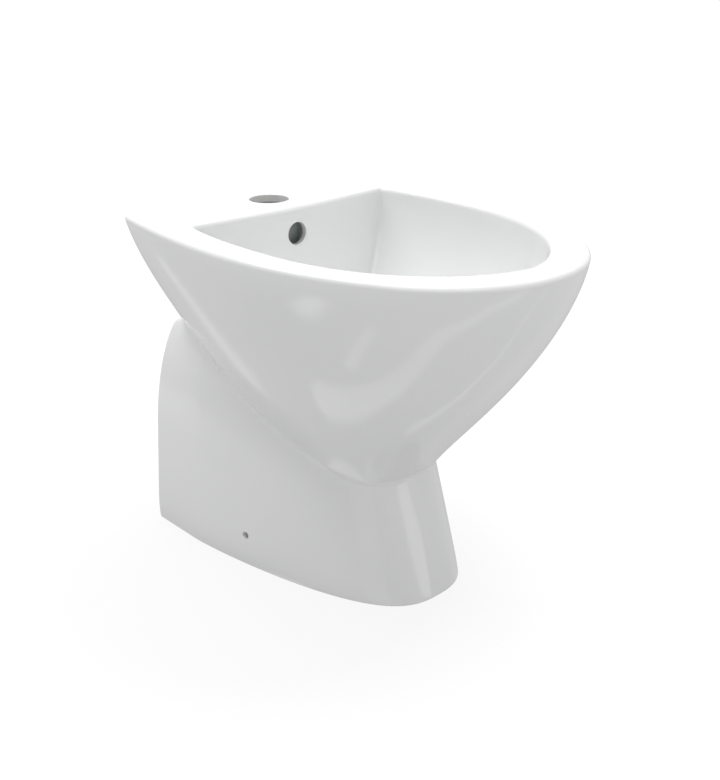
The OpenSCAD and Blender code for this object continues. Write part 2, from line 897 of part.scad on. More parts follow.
module waste_union_seal() {
    color("dimgray")
    on_waste_axis()
        washer(dip_top_z, trap_seal_t, pipe_r - pipe_wall, tail_r - 0.3);
}

module dip_tube() {
    in_r = pipe_r - pipe_wall;
    color("whitesmoke")
    on_waste_axis()
    rotate_extrude()
        polygon([
            [in_r, dip_end_z],
            [pipe_r, dip_end_z],
            [pipe_r, dip_top_z - collar_t],
            [tail_r - 0.3, dip_top_z - collar_t],
            [tail_r - 0.3, dip_top_z],
            [in_r, dip_top_z]
        ]);
}

module bottle_nut() {
    color("whitesmoke")
    on_waste_axis()
    translate([0, 0, neck_z + trap_seal_t + union_lip_t])
        mirror([0, 0, 1])
            union_nut(neck_r + fit_gap, pipe_fit_r, union_lip_t);
}

module bottle_seal() {
    color("dimgray")
    on_waste_axis()
        washer(neck_z, trap_seal_t, pipe_r + 0.05, neck_r);
}

module trap_bottle() {
    color("whitesmoke")
    difference() {
        union() {
            on_waste_axis() {
                rotate_extrude()
                    polygon([
                        [0, bottle_low_z],
                        [bottle_r, bottle_low_z],
                        [bottle_r, bottle_top - 5],
                        [bottle_r - 1.5, bottle_top - 1.5],
                        [bottle_r - 5, bottle_top],
                        [neck_r, bottle_top],
                        [neck_r, neck_z],
                        [0, neck_z]
                    ]);
            }
            translate([0, waste_y, outlet_z])
                rotate([-90, 0, 0])
                    cylinder(r = neck_r, h = bottle_r + spigot_l);
        }
        on_waste_axis() {
            translate([0, 0, bottle_low_z - 1])
                cylinder(r = bottle_r - bottle_wall, h = bottle_top - bottle_wall - bottle_low_z + 1);
            translate([0, 0, bottle_top - bottle_wall - 1])
                cylinder(r = pipe_fit_r, h = neck_h + bottle_wall + 2);
        }
        translate([0, waste_y, outlet_z])
            rotate([-90, 0, 0])
                cylinder(r = pipe_r - pipe_wall, h = bottle_r + spigot_l);
        translate([0, spigot_stop_y, outlet_z])
            rotate([-90, 0, 0])
                cylinder(r = pipe_fit_r, h = spigot_l);
    }
}

module trap_cup() {
    grips = 16;
    color("whitesmoke")
    on_waste_axis()
    difference() {
        translate([0, 0, cup_z])
            cylinder(r = cup_r, h = cup_h);
        translate([0, 0, cup_z + bottle_wall])
            cylinder(r = bottle_r - bottle_wall, h = cup_h);
        translate([0, 0, ledge_z])
            cylinder(r = bottle_r + fit_gap, h = cup_h);
        for (k = [0:grips - 1])
            rotate([0, 0, k * 360 / grips])
                translate([cup_r + 2.6, 0, cup_z - 1])
                    cylinder(r = 4, h = cup_h + 2, $fn = 24);
    }
}

module cup_seal() {
    color("dimgray")
    on_waste_axis()
        washer(ledge_z, trap_seal_t, bottle_r - bottle_wall, bottle_r);
}

// Places its children so that their height runs towards the rear
module on_outlet_axis(y) {
    translate([0, y, outlet_z])
        rotate([-90, 0, 0])
            children();
}

module outlet_nut() {
    color("whitesmoke")
    on_outlet_axis(spigot_y + trap_seal_t + union_lip_t)
        mirror([0, 0, 1])
            union_nut(neck_r + fit_gap, pipe_fit_r, union_lip_t);
}

module outlet_seal() {
    color("dimgray")
    on_outlet_axis(0)
        washer(spigot_y, trap_seal_t, pipe_end_r + 0.05, neck_r);
}

// The pipe's inner end is slimmer, as far as it slides into the spigot and nut
module outlet_pipe() {
    in_r = pipe_r - pipe_wall;
    start_y = spigot_stop_y + 0.3;
    nut_end_y = spigot_y + trap_seal_t + union_lip_t;
    color("whitesmoke")
    on_outlet_axis(0)
    rotate_extrude()
        polygon([
            [in_r, start_y],
            [pipe_end_r, start_y],
            [pipe_end_r, nut_end_y + 1],
            [pipe_r, nut_end_y + 1],
            [pipe_r, rear_y],
            [in_r, rear_y]
        ]);
}

ceramic_body();
waste_body();
flange_seal();
cone_washer();
slip_washer();
back_nut();
click_cartridge();
click_plunger();
click_spring();
plug_cap();
plug_seal();
waste_union_nut();
waste_union_seal();
dip_tube();
bottle_nut();
bottle_seal();
trap_bottle();
trap_cup();
cup_seal();
outlet_nut();
outlet_seal();
outlet_pipe();
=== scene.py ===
"""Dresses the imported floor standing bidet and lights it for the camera.

Sizes in the classes are millimetres, as in the part's own source. Every mesh is
placed in metres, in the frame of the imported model.
"""

import json
import logging
import math
from collections.abc import Callable
from dataclasses import dataclass, field
from enum import Enum

import bmesh
import bpy
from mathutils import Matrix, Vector
from mathutils.bvhtree import BVHTree


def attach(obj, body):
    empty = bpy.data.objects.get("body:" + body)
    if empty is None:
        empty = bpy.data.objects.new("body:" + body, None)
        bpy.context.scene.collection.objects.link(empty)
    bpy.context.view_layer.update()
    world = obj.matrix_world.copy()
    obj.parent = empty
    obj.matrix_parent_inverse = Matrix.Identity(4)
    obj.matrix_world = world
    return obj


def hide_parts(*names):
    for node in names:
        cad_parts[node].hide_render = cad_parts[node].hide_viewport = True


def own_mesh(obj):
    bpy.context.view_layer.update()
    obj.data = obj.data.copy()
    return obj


LOG = logging.getLogger("bidet")
MM = 0.001
ORIGIN = (0, 0, 0)
MERGE = 1e-6
SLIVER = 1e-7
SMOOTH_ANGLE = math.radians(40.0)
NORMAL_WEIGHT = 60
Point = tuple[float, float, float]
Flat = tuple[float, float]

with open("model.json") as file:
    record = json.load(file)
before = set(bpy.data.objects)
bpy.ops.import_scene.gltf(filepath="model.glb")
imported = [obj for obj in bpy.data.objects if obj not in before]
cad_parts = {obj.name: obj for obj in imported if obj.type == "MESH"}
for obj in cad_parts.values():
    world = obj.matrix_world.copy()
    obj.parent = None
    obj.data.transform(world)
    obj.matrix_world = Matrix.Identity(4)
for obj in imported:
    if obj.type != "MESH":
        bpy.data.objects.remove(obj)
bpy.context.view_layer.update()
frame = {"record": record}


class Way(Enum):
    """What a tool does to the object that it meets."""

    CUT = "DIFFERENCE"
    JOIN = "UNION"


class Face(Enum):
    """Kinds of surface of the china, by its material's number."""

    GLAZED = 0
    BARE = 1
    BORED = 2
    # painted shade deep in the tap hole and in the overflow's duct
    SHADED = 3


class Station(Enum):
    """Stretches of the body's half outline, from the front to the middle of the rear."""

    FRONT = "front"
    FLANK = "flank"
    CORNER = "corner"
    REAR = "rear"


# ---------------------------------------------------------------------------
# Modelling tools
# ---------------------------------------------------------------------------


class Bench:
    """Blender's own modelling operators, with the selection that each one needs."""

    @staticmethod
    def clear() -> None:
        """Leaves edit mode and deselects every object."""
        if bpy.context.object and bpy.context.object.mode != "OBJECT":
            bpy.ops.object.mode_set(mode="OBJECT")
        bpy.ops.object.select_all(action="DESELECT")

    @staticmethod
    def pick(obj: bpy.types.Object) -> None:
        """Makes one object the only selected and the active one.

        Args:
            obj: The object.
        """
        Bench.clear()
        obj.select_set(True)
        bpy.context.view_layer.objects.active = obj

    @staticmethod
    def edit() -> None:
        """Enters edit mode with everything selected."""
        bpy.ops.object.mode_set(mode="EDIT")
        bpy.ops.mesh.select_all(action="SELECT")

    @staticmethod
    def named(name: str) -> bpy.types.Object:
        """Names the active object and its mesh, and returns the object."""
        bpy.context.object.name = bpy.context.object.data.name = name
        return bpy.context.object

    @staticmethod
    def outward(obj: bpy.types.Object) -> bpy.types.Object:
        """Merges a closed mesh's doubled vertices and turns its faces outwards.

        Args:
            obj: The mesh.

        Returns:
            The same mesh.
        """
        Bench.pick(obj)
        Bench.edit()
        bpy.ops.mesh.remove_doubles(threshold=MERGE)
        bpy.ops.mesh.normals_make_consistent(inside=False)
        bpy.ops.object.mode_set(mode="OBJECT")
        return obj

    @staticmethod
    def drawn(rings: list[list[Point]], name: str = "tool") -> bpy.types.Object:
        """Extrudes a closed solid from ring to ring, as a disc that is pulled along.

        Args:
            rings: Rings of equally many points, in millimetres.
            name: Name of the solid.

        Returns:
            The closed solid.
        """
        Bench.clear()
        bpy.ops.mesh.primitive_circle_add(vertices=len(rings[0]), radius=1, fill_type="NGON")
        obj = Bench.named(name)
        Bench.edit()
        mesh = bmesh.from_edit_mesh(obj.data)
        number = mesh.verts.layers.int.new("station")
        for i, vertex in enumerate(mesh.verts):
            vertex[number] = i
        Bench.settle(obj, rings[0])
        for ring in rings[1:]:
            bpy.ops.mesh.extrude_region_move()
            Bench.settle(obj, ring)
        bpy.ops.object.mode_set(mode="OBJECT")
        obj.data.attributes.remove(obj.data.attributes["station"])
        return Bench.outward(obj)

    @staticmethod
    def settle(obj: bpy.types.Object, ring: list[Point]) -> None:
        """Puts the selected ring of vertices at its points.

        Args:
            obj: The solid that is being drawn.
            ring: Points in millimetres.
        """
        mesh = bmesh.from_edit_mesh(obj.data)
        number = mesh.verts.layers.int["station"]
        for vertex in mesh.verts:
            if vertex.select:
                vertex.co = Vector(ring[vertex[number]]) * MM
        bmesh.update_edit_mesh(obj.data, loop_triangles=False, destructive=False)

    @staticmethod
    def turned(profile: list[Flat], steps: int = 96, name: str = "tool") -> bpy.types.Object:
        """Spins a closed profile about the upright axis at the origin.

        Args:
            profile: Closed outline as pairs of radius and height, in millimetres.
            steps: Number of faces round the axis.
            name: Name of the solid.

        Returns:
            The turned solid.
        """
        Bench.clear()
        bpy.ops.mesh.primitive_circle_add(vertices=len(profile), radius=1)
        obj = Bench.named(name)
        for vertex, (radius, height) in zip(obj.data.vertices, profile):
            vertex.co = (radius * MM, 0, height * MM)
        Bench.edit()
        bpy.ops.mesh.spin(
            steps=steps, angle=2 * math.pi, center=ORIGIN, axis=(0, 0, 1), use_auto_merge=True
        )
        bpy.ops.mesh.select_all(action="SELECT")
        bpy.ops.mesh.remove_doubles(threshold=MERGE)
        bpy.ops.mesh.dissolve_degenerate(threshold=SLIVER)
        bpy.ops.object.mode_set(mode="OBJECT")
        return Bench.outward(obj)

    @staticmethod
    def block(low: Point, high: Point, bevel: float = 0.0) -> bpy.types.Object:
        """Makes a block between two corners, with rounded edges where asked.

        Args:
            low: Lowest corner in millimetres.
            high: Highest corner in millimetres.
            bevel: Radius of the rounded edges in millimetres.

        Returns:
            The block.
        """
        Bench.clear()
        middle = [(a + b) / 2 * MM for a, b in zip(low, high)]
        bpy.ops.mesh.primitive_cube_add(size=1, location=middle)
        obj = Bench.named("tool")
        Bench.edit()
        bpy.ops.transform.resize(value=[(b - a) * MM for a, b in zip(low, high)])
        if bevel:
            bpy.ops.mesh.bevel(offset=bevel * MM, segments=4, affect="EDGES")
        bpy.ops.object.mode_set(mode="OBJECT")
        Bench.set_down(obj)
        return obj

    @staticmethod
    def place(obj: bpy.types.Object, at: Point, turn: Point = ORIGIN) -> bpy.types.Object:
        """Turns an object, moves it and sets its place down in its mesh.

        Args:
            obj: Object to place.
            at: Point in millimetres.
            turn: Turn about the three axes in degrees.

        Returns:
            The placed object.
        """
        obj.rotation_euler = [math.radians(a) for a in turn]
        obj.location = [v * MM for v in at]
        Bench.set_down(obj)
        return obj

    @staticmethod
    def set_down(obj: bpy.types.Object) -> None:
        """Applies an object's place, turn and size to its mesh."""
        Bench.pick(obj)
        bpy.ops.object.transform_apply(location=True, rotation=True, scale=True)

    @staticmethod
    def apply(obj: bpy.types.Object, kind: str, **settings: object) -> None:
        """Adds a modifier and applies it.

        Args:
            obj: Object that is changed.
            kind: Blender's name for the modifier's type.
            settings: The modifier's own settings.
        """
        Bench.pick(obj)
        modifier = obj.modifiers.new(kind.lower(), kind)
        for key, value in settings.items():
            setattr(modifier, key, value)
        bpy.ops.object.modifier_apply(modifier=modifier.name)

    @staticmethod
    def combine(
        obj: bpy.types.Object,
        tool: bpy.types.Object,
        at: Point = ORIGIN,
        turn: Point = ORIGIN,
        way: Way = Way.CUT,
    ) -> None:
        """Places a tool, cuts it from an object or joins it on, and removes it.

        Args:
            obj: Object that is kept.
            tool: Closed mesh that is used up.
            at: Point that the tool is moved to, in millimetres.
            turn: Its turn about the three axes in degrees.
            way: Whether the tool cuts or joins.
        """
        Bench.place(tool, at, turn)
        Bench.apply(obj, "BOOLEAN", object=tool, operation=way.value, solver="MANIFOLD")
        bpy.data.objects.remove(tool)

    @staticmethod
    def smooth(obj: bpy.types.Object) -> None:
        """Shades an object smooth but for its edges and weighs its normals by face area.

        Args:
            obj: Object that is shaded.
        """
        Bench.pick(obj)
        bpy.ops.object.shade_smooth_by_angle(angle=SMOOTH_ANGLE)
        Bench.apply(obj, "WEIGHTED_NORMAL", keep_sharp=True, weight=NORMAL_WEIGHT)


# ---------------------------------------------------------------------------
# Finishes
# ---------------------------------------------------------------------------


class Wire:
    """A shader socket that can be used in Python sums."""

    def __init__(self, graph: "Graph", socket: bpy.types.NodeSocket) -> None:
        """Keeps the graph and the socket."""
        self.graph, self.socket = graph, socket

    def __add__(self, other: object) -> "Wire":
        """Sum of the two."""
        return self.graph.math("ADD", self, other)

    def __sub__(self, other: object) -> "Wire":
        """Difference of the two."""
        return self.graph.math("SUBTRACT", self, other)

    def __rsub__(self, other: object) -> "Wire":
        """Difference of the two, with a number first."""
        return self.graph.math("SUBTRACT", other, self)

    def __mul__(self, other: object) -> "Wire":
        """Product of the two."""
        return self.graph.math("MULTIPLY", self, other)

    def __rtruediv__(self, other: object) -> "Wire":
        """Quotient of a number and the wire."""
        return self.graph.math("DIVIDE", other, self)

    __radd__ = __add__
    __rmul__ = __mul__


@dataclass(frozen=True)
class Layer:
    """A cloudy noise, with the band of its values that is stretched to 0 and 1."""

    scale: float
    detail: float = 3.0
    rough: float = 0.5
    stretch: Point = (1, 1, 1)
    band: Flat | None = None


class Graph:
    """A material's node tree, written as Python expressions."""

    def __init__(self, name: str, owner: bpy.types.ID | None = None) -> None:
        """Starts an empty node tree.

        Args:
            name: Name of the new material.
            owner: World that is given the nodes, where it isn't a material.
        """
        self.material = owner or bpy.data.materials.new(name)
        self.material.use_nodes = True
        self.tree = self.material.node_tree
        self.tree.nodes.clear()
        self.clouds: dict[tuple, Wire] = {}

    def feed(self, socket: bpy.types.NodeSocket, value: object) -> None:
        """Links a wire to a socket, or sets the socket to a plain value.

        Args:
            socket: Socket of a node.
            value: Wire or plain value.
        """
        if isinstance(value, Wire):
            self.tree.links.new(value.socket, socket)
        else:
            socket.default_value = value

    def node(
        self, kind: str, settings: dict, *values: object, out: int = 0, **named: object
    ) -> Wire:
        """Adds a node.

        Args:
            kind: Blender's name for the node's type.
            settings: The node's own settings.
            values: Values or wires of its sockets, in order.
            out: Number of the output that is returned.
            named: Values or wires by the sockets' names, with _ for a space.

        Returns:
            The wire of one output.
        """
        node = self.tree.nodes.new(kind)
        for key, value in settings.items():
            setattr(node, key, value)
        for socket, value in zip(node.inputs, values):
            self.feed(socket, value)
        for key, value in named.items():
            self.feed(node.inputs[key.replace("_", " ")], value)
        return Wire(self, node.outputs[out])

    def math(self, operation: str, *values: object, clamp: bool = False) -> Wire:
        """Math over the given values, held between 0 and 1 where asked."""
        return self.node("ShaderNodeMath", {"operation": operation, "use_clamp": clamp}, *values)

    def vector(self, operation: str, *values: object, out: int = 0, **named: object) -> Wire:
        """Vector Math over the given values."""
        settings = {"operation": operation}
        return self.node("ShaderNodeVectorMath", settings, *values, out=out, **named)

    def end(self, kind: str, shader: Wire) -> None:
        """Links a shader to the tree's output of the given type."""
        self.tree.links.new(shader.socket, self.tree.nodes.new(kind).inputs[0])

    def place(self) -> Wire:
        """The point on the piece, in metres."""
        return self.node("ShaderNodeTexCoord", {}, out=3)

    def noise(self, layer: Layer) -> Wire:
        """Adds a noise from 0 to 1. The bands of one noise share its node.

        Args:
            layer: The noise.

        Returns:
            Its value, or its stretched band.
        """
        key = (layer.scale, layer.detail, layer.rough, layer.stretch)
        if key not in self.clouds:
            where = self.node(
                "ShaderNodeMapping", {"vector_type": "POINT"}, self.place(), Scale=layer.stretch
            )
            sizes = {"Scale": layer.scale, "Detail": layer.detail, "Roughness": layer.rough}
            self.clouds[key] = self.node("ShaderNodeTexNoise", {}, Vector=where, **sizes)
        cloud = self.clouds[key]
        return self.banded(cloud, *layer.band) if layer.band else cloud

    def between(self, share: Wire, first: tuple, second: tuple) -> Wire:
        """Colour between two colours.

        Args:
            share: Share of the second colour, from 0 to 1.
            first: Colour at 0.
            second: Colour at 1.

        Returns:
            The mixed colour.
        """
        mix = self.tree.nodes.new("ShaderNodeMix")
        mix.data_type = "RGBA"
        self.feed(mix.inputs[0], share)
        self.feed(mix.inputs[6], (*first, 1))
        self.feed(mix.inputs[7], (*second, 1))
        return Wire(self, mix.outputs[2])

    def banded(self, share: Wire, low: float, high: float) -> Wire:
        """Stretches a value between two limits to 0 and 1, and holds it there."""
        return self.node("ShaderNodeMapRange", {"clamp": True}, share, low, high, 0.0, 1.0)

    def finish(self, constants: dict, **sockets: object) -> bpy.types.Material:
        """Ends the material in a Principled shader.

        Args:
            constants: Plain values by socket name.
            sockets: Wires by socket name, with _ for a space.

        Returns:
            The material.
        """
        shader = self.node("ShaderNodeBsdfPrincipled", {}, **constants, **sockets)
        self.end("ShaderNodeOutputMaterial", shader)
        return self.material


class Surface:
    """A finish: patches of a second colour, and noises that roughen and raise it.

    The relief's depth is in millimetres, before the strength of its bump.
    """

    name: str
    colour: tuple
    patched: tuple
    patch: Layer
    relief: Layer
    depth: Flat
    roughness: float
    rougher: tuple[tuple[float, Layer], ...]
    constants: dict

    def material(self) -> bpy.types.Material:
        """Builds the material.

        Returns:
            The material.
        """
        graph = Graph(self.name)
        roughness = self.roughness
        for share, layer in self.rougher:
            roughness = roughness + share * graph.noise(layer)
        depth, strength = self.depth
        height = graph.noise(self.relief)
        bump = {"Strength": strength, "Distance": depth * MM, "Height": height}
        return graph.finish(
            self.constants,
            Base_Color=graph.between(graph.noise(self.patch), self.colour, self.patched),
            Roughness=roughness,
            Normal=graph.node("ShaderNodeBump", {}, **bump),
        )


class GlazedChina(Surface):
    """White china under a clear glossy glaze, faintly wavy as a fired glaze is."""

    name = "glazed_china"
    colour, patched = (0.80, 0.802, 0.802), (0.787, 0.79, 0.792)
    patch = Layer(9.0, 2.0, band=(0.35, 0.65))
    relief, depth = Layer(26.0, 1.0), (0.25, 0.25)
    roughness = 0.06
    rougher = ((0.05, Layer(900.0, 1.0)), (0.03, Layer(420.0, 2.0, band=(0.70, 0.78))))
    constants = {
        "IOR": 1.5,
        "Specular IOR Level": 0.5,
        "Coat Weight": 0.25,
        "Coat IOR": 1.5,
        "Coat Roughness": 0.03,
    }


class BareChina(Surface):
    """Unglazed fired body, dull and slightly gritty, on the cut and hidden faces."""

    name = "bare_china"
    colour, patched = (0.72, 0.715, 0.70), (0.62, 0.61, 0.59)
    patch = Layer(14.0, 4.0, 0.6, band=(0.4, 0.75))
    relief, depth = Layer(1400.0, 2.0, 0.7), (0.12, 0.5)
    roughness, rougher = 0.62, ((0.25, relief),)
    constants = {"IOR": 1.45}


class BoredChina(BareChina):
    """The bare body just below the tap hole's glazed mouth."""

    name = "bored_china"
    colour, patched = (0.72, 0.72, 0.715), (0.64, 0.64, 0.635)


class PaintedShadeChina(BareChina):
    """Painted shade: the bare body darkened deep in the tap hole and in the overflow's duct."""

    name = "painted_shade_china"
    colour, patched = (0.36, 0.40, 0.39), (0.28, 0.31, 0.305)


class ChromePlate(Surface):
    """Bright chrome on brass, with hairline marks and dried drops."""

    name = "chrome_plate"
    colour, patched = (0.78, 0.79, 0.80), (0.66, 0.67, 0.68)
    patch = Layer(120.0, 2.0, band=(0.6, 0.72))
    relief, depth = Layer(260.0, 4.0, 0.7, (1, 14, 1)), (0.01, 0.4)
    roughness, rougher = 0.06, ((0.10, relief), (0.10, patch))
    constants = {"IOR": 1.5, "Metallic": 1.0}


class MouldedPlastic(Surface):
    """White moulded plastic with a fine eroded grain and faint flow marks."""

    name = "white_plastic"
    colour, patched = (0.78, 0.78, 0.77), (0.70, 0.70, 0.68)
    patch = Layer(30.0, 3.0, 0.6, (1, 1, 4), (0.35, 0.7))
    relief, depth = Layer(2600.0, 2.0), (0.03, 0.5)
    roughness, rougher = 0.34, ((0.12, Layer(30.0, 3.0, 0.6, (1, 1, 4))), (0.10, relief))
    constants = {"IOR": 1.49}


class GreyPlastic(MouldedPlastic):
    """The grey plastic of the push-open mechanism."""

    name, roughness = "cartridge_plastic", 0.3
    colour, patched = (0.50, 0.51, 0.52), (0.44, 0.45, 0.46)


class BlackRubber(Surface):
    """Moulded black rubber with a dusty bloom."""

    name = "black_rubber"
    colour, patched = (0.018, 0.018, 0.019), (0.07, 0.068, 0.066)
    patch = Layer(160.0, 4.0, 0.65, band=(0.45, 0.8))
    relief, depth = Layer(3000.0, 1.0), (0.04, 0.6)
    roughness, rougher = 0.5, ((0.3, Layer(160.0, 4.0, 0.65)),)
    constants = {"IOR": 1.52}


class DrawnWire(Surface):
    """Stainless spring wire with marks from the drawing die."""

    name = "drawn_wire"
    colour, patched = (0.56, 0.55, 0.54), (0.40, 0.39, 0.385)
    patch = relief = Layer(900.0, 3.0, 0.6, (1, 1, 9))
    depth, roughness, rougher = (0.02, 0.5), 0.22, ((0.2, patch),)
    constants = {"IOR": 1.5, "Metallic": 1.0}


# ---------------------------------------------------------------------------
# China body
# ---------------------------------------------------------------------------

FAR = 500.0
FILLET = 4.0
ROOMY_FILLET = 8.0


def span(value: float, low: float, high: float) -> float:
    """Holds a value between two limits."""
    return max(low, min(high, value))


def rounded(p: Flat, q: Flat, r: Flat, t: float) -> Flat:
    """Point between p and r on the curve that rounds the corner q.

    Args:
        p: Start of the curve.
        q: Corner.
        r: End of the curve.
        t: Share of the way, from 0 to 1.

    Returns:
        The point.
    """
    a, b, c = (1 - t) ** 2, 2 * t * (1 - t), t * t
    return (a * p[0] + b * q[0] + c * r[0], a * p[1] + b * q[1] + c * r[1])


def halved(low: float, high: float, beyond: Callable[[float], bool], steps: int = 22) -> float:
    """Finds by halving where a test turns true.

    Args:
        low: Value at which the test is false.
        high: Value at which it is true.
        beyond: The test.
        steps: Number of halvings.

    Returns:
        The value where it turns.
    """
    for _ in range(steps):
        mid = (low + high) / 2
        low, high = (low, mid) if beyond(mid) else (mid, high)
    return (low + high) / 2


@dataclass(frozen=True)
class BowlForm:
    """How the bowl's plan section draws in below the rim."""

    half: float = 179.97
    front: float = 284.93
    rear_half: float = 160.0
    rear_reach: float = 197.0
    bow: float = 14.0
    power: float = 2.09
    keel_power: float = 2.52
    keel_fill: float = 10.7
    depth: float = 260.0
    edge: float = 6.0
    side_draw: Flat = (115.5, 1.48)
    front_draw: Flat = (181.0, 1.53)
    rear_draw: Flat = (167.0, 1.26)

    def draw(self, h: float, law: Flat) -> float:
        """Draw-in at depth h, from the total draw and its power."""
        return law[0] * ((h / self.depth) ** law[1] - (self.edge / self.depth) ** law[1])

    def bow_at(self, x: float) -> float:
        """How far the rear edge stands forward at half width x."""
        return self.bow * (x / self.rear_half) ** 2

    def section(self, depth: float) -> tuple[float, ...]:
        """Side, front reach, power, rear half width and rear reach at a depth.

        Args:
            depth: Depth below the rim.

        Returns:
            The five numbers of the section.
        """
        h = span(depth, 0.0, self.depth + 30)
        fuller = self.keel_fill * (h / self.depth) ** 8
        corner = max(self.rear_half - self.draw(h, self.rear_draw), 8.0)
        return (
            self.half - self.draw(h, self.side_draw) + fuller,
            self.front - self.draw(h, self.front_draw) + fuller,
            self.power + (self.keel_power - self.power) * (h / self.depth) ** 2,
            corner,
            self.rear_reach - self.bow_at(corner),
        )

    def radius(self, depth: float, angle: float) -> float:
        """Radius of the section at an angle from the front.

        Args:
            depth: Depth below the rim.
            angle: Angle in degrees.

        Returns:
            The radius about the widest station.
        """
        side, front, power, corner, reach = self.section(depth)
        s, c = math.sin(math.radians(angle)), math.cos(math.radians(angle))
        if angle <= 90:
            return ((s / side) ** power + (max(c, 0.0) / front) ** power) ** (-1 / power)
        q = (side - corner) * (c / reach) ** 2
        if abs(q) < 1e-7:
            return side / s
        return (math.sqrt(s * s + 4 * side * q) - s) / (2 * q)


@dataclass(frozen=True)
class FootForm:
    """How the pedestal's plan section changes with the height."""

    half: float = 129.0
    straight_y: float = 171.0
    reach: float = 286.0
    long_power: float = 1.33
    cross_power: float = 2.8
    power_fall: float = 0.65
    front_taper: float = 68.0
    side_taper: float = 20.0
    top: float = 266.0
    round_h: float = 135.0
    round_w: float = 35.0
    tuck: float = 3.0
    rear_y: float = 250.0
    rear_back: float = 14.0

    def shoulder(self, z: float) -> float:
        """Rounding of the shoulder, from 1 at its top to 0 below it."""
        g = span((self.top - z) / self.round_h, 0.0, 1.0)
        return 1 - math.sqrt(max(0.0, 1 - (1 - g) ** 2))

    def section(self, z: float) -> tuple[float, float, float]:
        """Half width, reach of the front and power at a height.

        Args:
            z: Height above the floor.

        Returns:
            The three numbers of the section.
        """
        u = z / self.top
        half = self.half - self.tuck * math.exp(-z / 12) - self.side_taper * u
        return (
            half - self.round_w * self.shoulder(z),
            self.reach - self.front_taper * u,
            self.cross_power - self.power_fall * u,
        )

    def radius(self, z: float, angle: float, axis_y: float) -> float:
        """Radius of the section at an angle from the front, found by halving.

        Args:
            z: Height above the floor.
            angle: Angle in degrees.
            axis_y: Station that the angle turns about.

        Returns:
            The radius about that station.
        """
        half, reach, power = self.section(z)
        s, c = math.sin(math.radians(angle)), math.cos(math.radians(angle))

        def outside(radius: float) -> bool:
            """Whether a radius lies outside the section."""
            ahead = max(0.0, self.straight_y - axis_y + radius * c)
            return (radius * s / half) ** power + (ahead / reach) ** self.long_power > 1

        return halved(0.0, FAR, outside)


